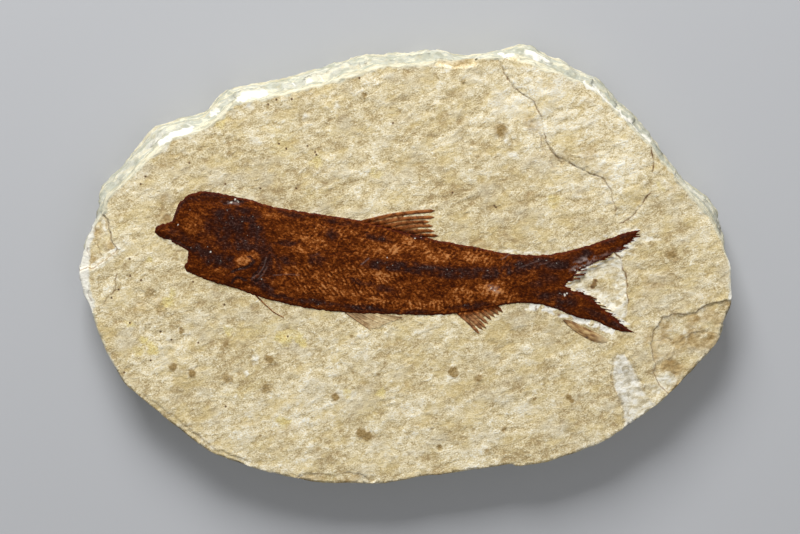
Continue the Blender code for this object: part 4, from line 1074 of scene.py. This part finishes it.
def toothed_fork():
    """The ragged inner edge of the tail: ends of rays that stand out along the fan."""
    base = even_steps(TAIL_FORK, TOOTH_PITCH)
    shortest, longest = TOOTH_LENGTH
    line = []
    for number, (start, end) in enumerate(zip(base[:-1], base[1:])):
        length = shortest + (longest - shortest) * chance(number, 7, 11) ** 1.8
        middle = start + (end - start) * (0.3 + 0.4 * chance(number, 3, 12))
        outwards = middle - np.array(RAY_FAN_CENTRE)
        outwards[1] *= 0.35 if outwards[1] > 0.0 else 1.0
        outwards /= np.hypot(*outwards)
        tip = middle + outwards * length
        line += [start, tip - TOOTH_BLUNTNESS * (end - start), tip + TOOTH_BLUNTNESS * (end - start)]
    return np.array(line + [base[-1]])


def ragged(points, per_span, amount):
    """A smooth line whose points are pushed a little in and out, but not at its ends."""
    line = even_steps(smooth_line(points, per_span=per_span), 0.15)
    number, last = np.arange(len(line)), len(line) - 1
    push = amount * (waves(*line.T, 1.3, 171) + 0.8 * waves(*line.T, 0.5, 172))
    push *= ease(number, 0, 6) * ease(number, last, last - 6)
    return beside(line, push[:, None])[1]


OUTLINE = np.vstack([
    ragged(SNOUT, 8, 0.26), ragged(FISH_BACK, 12, 0.12), toothed_fork(), ragged(FISH_BELLY, 12, 0.12),
])


def film_outline(rays, share):
    """Outline of the film that joins a fin's rays for the first part of their length."""
    ends = []
    for number, ray in enumerate(rays):
        line = even_steps(smooth_line(ray), 0.1)
        uneven = 0.8 + 0.4 * chance(number, len(rays), 13)
        ends.append(line[min(len(line) - 1, int(len(line) * share * uneven))])
    roots = [np.array(ray[0]) for ray in rays]
    return np.array(roots + ends[::-1])


def half_width_at(share, to_tip, width, sharpness):
    """Half width of a ray that tapers and ends in a point."""
    return np.minimum(0.5 * width * (1.0 - (1.0 - sharpness) * share), 0.05 + 0.35 * to_tip)


def ray_depth(x, y, ray, width, sharpness):
    """Distance inside a tapering ray, negative outside."""
    line = smooth_line(ray, per_span=6)
    distance, _, run = to_line(x, y, line, 1.2)
    total = length_of(line)
    return half_width_at(run / total, total - run, width, sharpness) - distance


def fin_depths(x, y):
    """Depth inside the fins' rays and inside the film between them."""
    rays, film = np.full(x.shape, -FAR), np.full(x.shape, -FAR)
    for lines, width, sharpness, share in FINS.values():
        film = np.maximum(film, depth_in(x, y, film_outline(lines, share), 1.0))
        for line in lines:
            rays = np.maximum(rays, ray_depth(x, y, line, width, sharpness))
    return np.maximum(rays, ray_depth(x, y, *PECTORAL)), film


def fish_depth(x, y):
    """Distance inside the body or a fin, negative outside."""
    return np.maximum(depth_in(x, y, OUTLINE, 2.0), np.maximum(*fin_depths(x, y)))


def from_midline(x, y):
    """Height over the line of the backbone."""
    return y - np.interp(x, *np.array(MIDLINE).T)


def strokes(phase, x, y, seed):
    """Soft parallel strokes that waver and break up."""
    wavering = phase + 0.35 * waves(x, y, 1.3, seed) + 0.2 * waves(x, y, 0.5, seed + 1)
    crest = 0.5 + 0.5 * np.cos(2.0 * math.pi * wavering)
    return ease(crest, 0.35, 0.9) * ease(waves(x, y, 1.6, seed + 2), -0.5, 0.35)


def body_strokes(x, y):
    """How far ribs and spines raise the skin and how far they show on it."""
    midline = from_midline(x, y)
    measures = {"x": x, "midline": midline, "belly": y - np.interp(x, *np.array(sorted(FISH_BELLY)).T)}
    raised, drawn = np.zeros(x.shape), np.zeros(x.shape)
    for slant, pitch, seed, rise_share, look_share, *limits in STROKES.values():
        stroke = strokes((x + slant * midline) / pitch, x, y, seed)
        for measure, low, high in limits:
            stroke *= ease(measures[measure], low, high)
        raised += rise_share * stroke
        drawn = np.maximum(drawn, look_share * stroke)
    return raised, drawn


def fish_rise(x, y, body, rays, raised):
    """Height over the stone: a low pillow with backbone, ribs and skull bones, and thin fins."""
    rise = EDGE_RISE * ease(body, 0.0, 0.25)
    rise += CROWN_RISE * (1.0 - np.exp(-np.maximum(body, 0.0) / CROWN_WIDTH))
    trunk = ease(x, -25.0, -21.0) * ease(x, 29.0, 25.0)
    vertebrae = 0.85 + 0.15 * np.cos(2.0 * math.pi * x / VERTEBRA_PITCH)
    rise += trunk * SPINE_RISE * np.exp(-(from_midline(x, y) / SPINE_WIDTH) ** 2) * vertebrae
    rise += RIB_RISE * raised
    for bone_x, bone_y, half_length, half_height, bone_rise in SKULL_BONES:
        spread = ((x - bone_x) / half_length) ** 2 + ((y - bone_y) / half_height) ** 2
        rise += bone_rise * np.sqrt(np.maximum(0.0, 1.0 - spread))
    for strength, closeness in soft_lines(x, y, DARK_LINES):
        rise -= 0.12 * strength * closeness
    for strength, closeness in soft_lines(x, y, PALE_LINES):
        rise += 0.06 * strength * closeness
    crust = 0.05 * waves(x, y, 0.85, 131) + 0.045 * waves(x, y, 0.42, 132)
    crust -= 0.07 * pits(x, y, 1.1, 133, 0.3, 0.1, 0.7)
    rise += crust * ease(body, 0.05, 0.5)
    on_ray = 0.03 + 0.17 * np.sqrt(np.clip(rays, 0.0, 0.3) / 0.3)
    return np.where(body > 0.0, rise, np.where(rays > 0.0, on_ray, 0.06))


def bone_looks(x, y, drawn):
    """The dark, orange and pale parts of the body, and glints painted on it as pale specks."""
    wavy = wavered(x, y, 0.3)
    dark, orange = patches_of(*wavy, DARK_PATCHES), patches_of(*wavy, ORANGE_PATCHES)
    cheek = orange * ease(x, -24.0, -26.0)
    stripe = ease(np.abs(from_midline(x, y) + 0.25 * waves(x, y, 2.0, 141)), 1.5, 0.4)
    stripe *= ease(x, -9.0, -4.0) * ease(x, 32.0, 28.0)
    dark = np.maximum(dark, 0.92 * stripe * ease(waves(x, y, 1.6, 152), -0.95, -0.05))
    orange = np.clip(orange * (0.6 + 0.4 * drawn) + 0.5 * drawn * (1.0 - dark), 0.0, 1.0)
    dark = dark * np.clip(0.72 + 0.75 * waves(x, y, 1.2, 146) + 0.3 * waves(x, y, 0.5, 148), 0.0, 1.15)
    dark = dark * (1.0 - 0.7 * cheek)
    for strength, closeness in soft_lines(*wavy, DARK_LINES, LINE_SPREAD):
        dark = np.maximum(dark, strength * closeness)
    torn = ease(waves(x / 1.8, y, 0.6, 149) + 0.5 * waves(x, y, 0.27, 150), -0.35, 0.55)
    pale = patches_of(*wavy, HAZES, torn)
    for strength, closeness in soft_lines(x, y, PALE_LINES, LINE_SPREAD):
        pale = np.maximum(pale, strength * closeness)
    # pale specks: painted glints, with the real grey-white crystals by the fork among them
    painted_glint_and_crystal, broken = np.zeros(x.shape), ease(waves(x, y, 0.33, 147), -0.5, 0.1)
    for place in PAINTED_GLINTS_AND_CRYSTALS:
        painted_glint_and_crystal = np.maximum(painted_glint_and_crystal, spot(*wavy, *place, 1.0, 0.4) * broken)
    # small painted glints strewn over the dark parts
    nearest, value = cells(x, y, MICRO_PAINTED_GLINT_SPACING, 143)
    small = (nearest * MICRO_PAINTED_GLINT_SPACING < MICRO_PAINTED_GLINT_RADIUS) * (value > 0.62)
    painted_glint_and_crystal = np.maximum(painted_glint_and_crystal, 0.42 * small * (np.clip(dark * 1.4, 0.0, 1.0) * ease(x, 34.0, 28.0)))
    return {"dark": dark, "orange": orange, "pale": pale, "painted_glint_and_crystal": painted_glint_and_crystal}


def fish_looks(x, y, body, rays, drawn):
    """How far each look shows on the fish."""
    away = ease(-body, 0.0, 1.4) * (body < 0.0)
    pelvic = patch(x, y, *PELVIC_PLACE) * (body < 0.0) * (0.48 + 0.52 * ease(x, -8.6, -5.0))
    turn, reach = fan_of_rays(x, y)
    return {
        **bone_looks(x, y, drawn),
        "edge": ease(body, 0.5, 0.12) * (body > 0.0), "head": ease(x, -24.0, -31.0),
        "ray": ease(rays, -0.05, 0.1) * away, "film": away * (rays < 0.05),
        "faint": np.maximum(pelvic, 0.12 * patch(x, y, *ANAL_PLACE) * away), "tail": ease(x, 22.0, 29.0),
        "streak": 0.5 + 0.5 * waves(turn * 26.0, reach / 5.0, 0.5, 145),
    }


def beside_edge(line):
    return beside(line, EDGE_OFFSET)


def ray_edges(ray, width, sharpness):
    """Points on and beside both edges and the crest of a tapering ray."""
    line = even_steps(smooth_line(ray), 0.14)
    share = np.linspace(0.0, 1.0, len(line))
    half = half_width_at(share, (1.0 - share) * len(line) * 0.14, width, sharpness)
    return beside(line, half[:, None])


def edge_samples():
    """Points on and just outside every edge of the fish, so that its sides stand steep."""
    lines = [even_steps(closed(OUTLINE), EDGE_SAMPLE)]
    for rays, width, sharpness, share in FINS.values():
        for ray in rays:
            lines += ray_edges(ray, width, sharpness)
        lines.append(even_steps(closed(film_outline(rays, share)), EDGE_SAMPLE))
    lines += ray_edges(*PECTORAL)
    return np.vstack([points for line in lines for points in beside_edge(line)])


def film_points(edges, box, seed, depth_at):
    """The edges' points, a grid inside them and a few rows of it just outside."""
    x, y = scattered(box, FISH_SPACING, seed)
    depth = depth_at(x, y)
    grid = np.column_stack([x, y])[(depth > 0.09) | ((depth < -0.16) & (depth > -FISH_MARGIN))]
    return apart(np.vstack([edges, grid]), MERGE_GAP)


def make_film(name, xy, depth, skin, rise, looks, *rest):
    """A thin piece that stands over the stone by its rise and whose skirt dips into it."""
    outside = ease(depth, -0.01, -0.06)
    height = plate_height(*xy.T) + skin + rise * (1.0 - outside) - EDGE_DROP * outside
    faces = facing(triangles(xy), xy, up=True)
    faces = faces[(depth[faces] > -SKIRT_WIDTH).all(axis=1)]
    make_piece(name, np.column_stack([xy, height]), faces, looks, *rest)


def make_fish(material):
    xy = film_points(edge_samples(), FISH_BOX, 151, fish_depth)
    x, y = xy.T
    body = depth_in(x, y, OUTLINE)
    rays, film = fin_depths(x, y)
    depth = np.maximum(body, np.maximum(rays, film))
    raised, drawn = body_strokes(x, y)
    rise = fish_rise(x, y, body, rays, raised)
    looks = fish_looks(x, y, body, rays, drawn)
    skin = grain(x, y) * ease(depth, 1.0, 0.0)
    make_film("fish_piece", xy, depth, skin, rise, looks, "fish", "fossil_bone", material)


def make_fragment(material):
    outline = smooth_line(FRAGMENT, loop=True)
    edges = np.vstack(beside_edge(even_steps(closed(outline), EDGE_SAMPLE)))
    xy = film_points(edges, FRAGMENT_BOX, 161, lambda x, y: depth_in(x, y, outline))
    x, y = xy.T
    depth = depth_in(x, y, outline)
    along, across = turned(x - 33.0, y + 11.6, FRAGMENT_TILT)
    rise = 0.04 + FRAGMENT_RISE * ease(depth, 0.0, 0.6) + 0.03 * waves(along / 3.0, across, 0.5, 163)
    dark = 0.9 * patch(x, y, 33.6, -13.0, 0.4, 0.3, 0.0)
    dark = np.maximum(dark, 0.7 * ease(np.abs(depth), 0.2, 0.02) * ease(x, 34.0, 31.0))
    streak = 0.5 + 0.5 * waves(along / 5.0, across, 0.6, 164)
    looks = {"dark": dark, "fade": ease(x, 34.5, 37.4), "streak": streak}
    skin = grain(x, y) * 0.6
    make_film("fin_fragment_piece", xy, depth, skin, rise, looks, "fin_fragment", "fragment_tan", material)


# ---------------------------------------------------------------- materials

class Surface:
    """A material, its node tree and its shader."""

    def __init__(self, name):
        self.material = bpy.data.materials.new(name)
        self.material.use_nodes = True
        self.tree = self.material.node_tree
        self.shader = self.tree.nodes["Principled BSDF"]

    def node(self, kind, **settings):
        made = self.tree.nodes.new("ShaderNode" + kind)
        for name, value in settings.items():
            setattr(made, name, value)
        return made

    def feed(self, socket, value):
        """Sets a socket to a number or a colour, or links it to another socket."""
        if isinstance(value, bpy.types.NodeSocket):
            self.tree.links.new(value, socket)
        else:
            socket.default_value = (*value, 1.0) if isinstance(value, tuple) else value

    def look(self, name):
        return self.node("Attribute", attribute_name=name).outputs["Fac"]

    def place(self, stretch, degrees):
        """The object's own coordinates, turned and stretched, so that patterns draw out."""
        mapping = self.node("Mapping", vector_type="TEXTURE")
        mapping.inputs["Rotation"].default_value = (0.0, 0.0, math.radians(degrees))
        mapping.inputs["Scale"].default_value = stretch
        self.feed(mapping.inputs["Vector"], self.node("TexCoord").outputs["Object"])
        return mapping.outputs["Vector"]

    def mottle(self, place, length, detail=3.0, roughness=0.55, distortion=0.0):
        """Noise with lumps of the given length in millimetres."""
        texture = self.node("TexNoise")
        texture.inputs["Scale"].default_value = 1.0 / (length * MM)
        texture.inputs["Detail"].default_value = detail
        texture.inputs["Roughness"].default_value = roughness
        texture.inputs["Distortion"].default_value = distortion
        self.feed(texture.inputs["Vector"], place)
        return texture.outputs["Fac"]

    def ramp(self, value, *stops):
        """Colours, or greys, along a value."""
        made = self.node("ValToRGB")
        elements = made.color_ramp.elements
        while len(elements) < len(stops):
            elements.new(1.0)
        for element, (position, colour) in zip(elements, stops):
            element.position = position
            element.color = (*(colour if isinstance(colour, tuple) else [colour] * 3), 1.0)
        self.feed(made.inputs["Fac"], value)
        return made.outputs["Color"]

    def maths(self, operation, first, second):
        made = self.node("Math", operation=operation)
        self.feed(made.inputs[0], first)
        self.feed(made.inputs[1], second)
        return made.outputs["Value"]

    def weighted(self, *parts):
        """The sum of values, each times its weight."""
        total = None
        for value, weight in parts:
            part = self.maths("MULTIPLY", value, weight)
            total = part if total is None else self.maths("ADD", total, part)
        return total

    def layered(self, colour, *layers):
        """The colour under layers, each a share and a colour, from the bottom up."""
        for share, upper in layers:
            mix = self.node("Mix", data_type="RGBA", clamp_factor=True)
            for socket, value in (("Factor", share), ("A", colour), ("B", upper)):
                self.feed(mix.inputs[socket], value)
            colour = mix.outputs["Result"]
        return colour

    def finish(self, colour, roughness, specular, *heights):
        """Fills in the shader; heights are (height, strength, distance in millimetres) of the fine relief."""
        self.feed(self.shader.inputs["Base Color"], colour)
        self.feed(self.shader.inputs["Roughness"], roughness)
        self.shader.inputs["Specular IOR Level"].default_value = specular
        normal = None
        for height, strength, distance in heights:
            bump = self.node("Bump")
            bump.inputs["Strength"].default_value = strength
            bump.inputs["Distance"].default_value = distance * MM
            self.feed(bump.inputs["Height"], height)
            if normal is not None:
                self.feed(bump.inputs["Normal"], normal)
            normal = bump.outputs["Normal"]
        if normal is not None:
            self.feed(self.shader.inputs["Normal"], normal)
        return self.material


def limestone():
    stone = Surface("limestone")
    ramp, look = stone.ramp, stone.look
    place = stone.place((1.45, 1.0, 1.0), 20.0)
    patches = stone.mottle(place, 6.0, 3.0, 0.6)
    ripples = stone.mottle(place, 1.9, 2.0, 0.5, 0.5)
    lumps = stone.mottle(place, 0.85, 4.0, 0.66, 0.4)
    dust = stone.mottle(place, 0.22, 3.0, 0.7)
    hue, greyish = stone.mottle(place, 2.6, 2.0), stone.mottle(place, 3.8, 2.0)
    strata = stone.mottle(stone.place((8.0, 8.0, 1.0), 0.0), 0.28, 2.0, 0.6)
    ragged_part = stone.maths("MULTIPLY", stone.maths("SUBTRACT", stone.mottle(place, 0.55, 3.0), 0.5), 0.55)

    def worn(name, low, high):
        """A look whose border is broken up by fine noise."""
        return ramp(stone.maths("ADD", look(name), ragged_part), (low, 0.0), (high, 1.0))

    tone = stone.weighted(
        (patches, 0.19), (ripples, 0.12), (lumps, 0.29), (dust, 0.40), (look("bright"), 0.032),
    )
    plain = ramp(
        tone, (0.43, (0.42, 0.300, 0.145)), (0.467, (0.57, 0.450, 0.240)), (0.50, (0.71, 0.595, 0.350)),
        (0.532, (0.84, 0.725, 0.480)), (0.568, (0.97, 0.880, 0.655)), (0.605, (1.0, 0.970, 0.840)),
    )
    yellow = ramp(dust, (0.38, (0.60, 0.430, 0.140)), (0.60, (0.90, 0.790, 0.380)))
    tan = ramp(lumps, (0.38, (0.35, 0.220, 0.078)), (0.62, (0.70, 0.540, 0.280)))
    grey = ramp(lumps, (0.38, (0.52, 0.46, 0.33)), (0.50, (0.81, 0.76, 0.63)), (0.62, (0.98, 0.96, 0.88)))
    cream = ramp(lumps, (0.38, (0.58, 0.48, 0.29)), (0.50, (0.84, 0.76, 0.56)), (0.60, (0.97, 0.93, 0.80)))
    olive = ramp(dust, (0.38, (0.25, 0.160, 0.050)), (0.62, (0.46, 0.320, 0.140)))
    bands = ramp(
        stone.weighted((look("band"), 0.6), (patches, 0.5)),
        (0.28, (0.76, 0.72, 0.55)), (0.42, (0.64, 0.58, 0.40)), (0.52, (0.47, 0.485, 0.39)),
        (0.64, (0.54, 0.55, 0.46)), (0.80, (0.68, 0.665, 0.57)),
    )
    chalk = stone.layered(
        bands,
        (ramp(strata, (0.38, 0.65), (0.48, 0.0)), (0.42, 0.42, 0.32)),
        (ramp(strata, (0.52, 0.0), (0.62, 0.8)), (0.86, 0.81, 0.62)),
        (ramp(dust, (0.34, 0.45), (0.46, 0.0)), (0.46, 0.45, 0.34)),
        (ramp(lumps, (0.50, 0.0), (0.68, 0.5)), (0.66, 0.57, 0.34)),
        (stone.maths("MULTIPLY", look("iron"), 0.8), tan),
    )
    # dark marks: real specks, blots and crack lines, and painted shade round the flakes' steps
    dark_marks_and_painted_shade = ramp(look("dark"), (0.62, (0.25, 0.140, 0.055)), (0.98, (0.05, 0.030, 0.018)))
    colour = stone.layered(
        plain,
        (ramp(hue, (0.50, 0.0), (0.64, 0.42)), (0.74, 0.58, 0.26)),
        (ramp(greyish, (0.52, 0.0), (0.68, 0.36)), (0.66, 0.60, 0.46)),
        (worn("yellow", 0.3, 1.1), yellow), (worn("iron", 0.15, 0.95), tan),
        (worn("grey", 0.2, 0.9), grey), (worn("cream", 0.25, 0.85), cream),
        (worn("olive", 0.05, 0.72), olive), (worn("fresh", 0.3, 0.9), chalk),
        # white: real pale scrapings and chalky margins, and highlights painted on the rim's broken facets
        (worn("white", 0.3, 0.8), (0.93, 0.90, 0.80)),
        (ramp(look("dark"), (0.08, 0.0), (0.7, 0.95)), dark_marks_and_painted_shade),
    )
    return stone.finish(colour, 0.88, 0.3, (ripples, 0.6, 0.5), (lumps, 0.75, 0.24), (dust, 0.9, 0.12))


def fossil_bone():
    bone = Surface("fossil_bone")
    ramp, look = bone.ramp, bone.look
    place = bone.place((1.5, 1.0, 1.0), -8.0)
    clumps = bone.mottle(place, 0.7, 4.0, 0.72, 0.6)
    flecks = bone.mottle(place, 0.32, 3.0, 0.8)
    patches = bone.mottle(place, 3.2, 3.0, 0.6)
    streaks = ramp(look("streak"), (0.1, 0.40), (0.9, 0.58))
    clumped = bone.layered(clumps, (ramp(look("tail"), (0.0, 0.0), (1.0, 0.75)), streaks))
    tone = bone.weighted(
        (clumped, 0.44), (flecks, 0.40), (patches, 0.16), (look("orange"), 0.15), (look("dark"), -0.13),
        (look("head"), -0.018),
    )
    plain = ramp(
        tone, (0.40, (0.030, 0.005, 0.001)), (0.455, (0.054, 0.010, 0.001)), (0.50, (0.092, 0.018, 0.0015)),
        (0.545, (0.165, 0.038, 0.004)), (0.59, (0.30, 0.086, 0.014)), (0.65, (0.52, 0.215, 0.070)),
    )
    # the dark patches of bone, tinted grey-blue as a painted sheen
    dark_bone_painted_sheen = ramp(
        flecks, (0.40, (0.008, 0.0045, 0.005)), (0.54, (0.034, 0.0195, 0.017)), (0.66, (0.17, 0.112, 0.098)),
    )
    colour = bone.layered(
        plain,
        (bone.maths("MULTIPLY", look("dark"), 0.62), dark_bone_painted_sheen),
        (bone.maths("MULTIPLY", look("edge"), 0.65), (0.075, 0.010, 0.004)),
        (look("ray"), ramp(clumps, (0.40, (0.10, 0.026, 0.006)), (0.60, (0.33, 0.115, 0.032)))),
        (look("film"), ramp(clumps, (0.42, (0.15, 0.052, 0.014)), (0.60, (0.47, 0.280, 0.120)))),
        (look("faint"), ramp(clumps, (0.38, (0.44, 0.290, 0.140)), (0.62, (0.76, 0.620, 0.370)))),
        (look("pale"), (0.34, 0.25, 0.225)),
        # pale specks: painted glints, and the real grey-white crystals by the fork
        (ramp(look("painted_glint_and_crystal"), (0.15, 0.0), (0.8, 1.0)), (0.74, 0.70, 0.62)),
    )
    gloss = ramp(flecks, (0.35, 0.42), (0.65, 0.70))
    return bone.finish(colour, gloss, 0.045, (clumps, 0.45, 0.14), (flecks, 0.55, 0.07))


def fragment_tan():
    film = Surface("fragment_tan")
    grainy = film.mottle(film.place((3.0, 1.0, 1.0), FRAGMENT_TILT), 0.5, 3.0, 0.6)
    plain = film.ramp(
        film.weighted((grainy, 0.7), (film.look("streak"), 0.3)),
        (0.38, (0.12, 0.048, 0.012)), (0.50, (0.33, 0.175, 0.058)), (0.62, (0.60, 0.41, 0.180)),
    )
    colour = film.layered(
        plain,
        (film.maths("MULTIPLY", film.look("fade"), 0.85), (0.62, 0.49, 0.28)),
        (film.look("dark"), (0.09, 0.050, 0.028)),
    )
    return film.finish(colour, 0.7, PLAIN_SPECULAR, (grainy, 0.4, 0.08))


# ---------------------------------------------------------------- surroundings

def place_object(name, data, place=(0.0, 0.0, 0.0), rotation=(0.0, 0.0, 0.0)):
    made = bpy.data.objects.new(name, data)
    made.location = place
    made.rotation_euler = rotation
    bpy.context.scene.collection.objects.link(made)
    return made


def make_floor():
    mesh = bpy.data.meshes.new("floor")
    corners = [(x * FLOOR_HALF, y * FLOOR_HALF, 0.0) for x, y in ((-1, -1), (1, -1), (1, 1), (-1, 1))]
    mesh.from_pydata(corners, [], [(0, 1, 2, 3)])
    mesh.materials.append(Surface("floor_paper").finish(FLOOR_COLOUR, 0.9, PLAIN_SPECULAR))
    place_object("floor", mesh)


def make_light(name, place, size, energy):
    """A soft square light that looks at the plate."""
    data = bpy.data.lights.new(name, "AREA")
    data.size = size
    data.energy = energy
    place_object(name, data, place, (-Vector(place)).to_track_quat("-Z", "Y").to_euler())


def make_world():
    world = bpy.data.worlds.new("studio")
    world.use_nodes = True
    background = world.node_tree.nodes["Background"]
    background.inputs["Color"].default_value = (1.0, 1.0, 1.0, 1.0)
    background.inputs["Strength"].default_value = WORLD_STRENGTH
    bpy.context.scene.world = world


def make_camera():
    data = bpy.data.cameras.new("camera")
    data.lens = LENS
    data.sensor_width = 36.0
    tilt = math.radians(VIEW_TILT)
    back = Vector((0.0, math.sin(tilt), math.cos(tilt)))
    place = (Vector(VIEW_TARGET) + back * VIEW_DISTANCE) * MM
    bpy.context.scene.camera = place_object("camera", data, place, (-tilt, 0.0, 0.0))


def main():
    make_plate(limestone())
    make_fish(fossil_bone())
    make_fragment(fragment_tan())
    make_floor()
    make_world()
    for name, light in LIGHTS.items():
        make_light(name, *light)
    make_camera()
    bpy.context.scene.view_settings.view_transform = "Standard"


main()
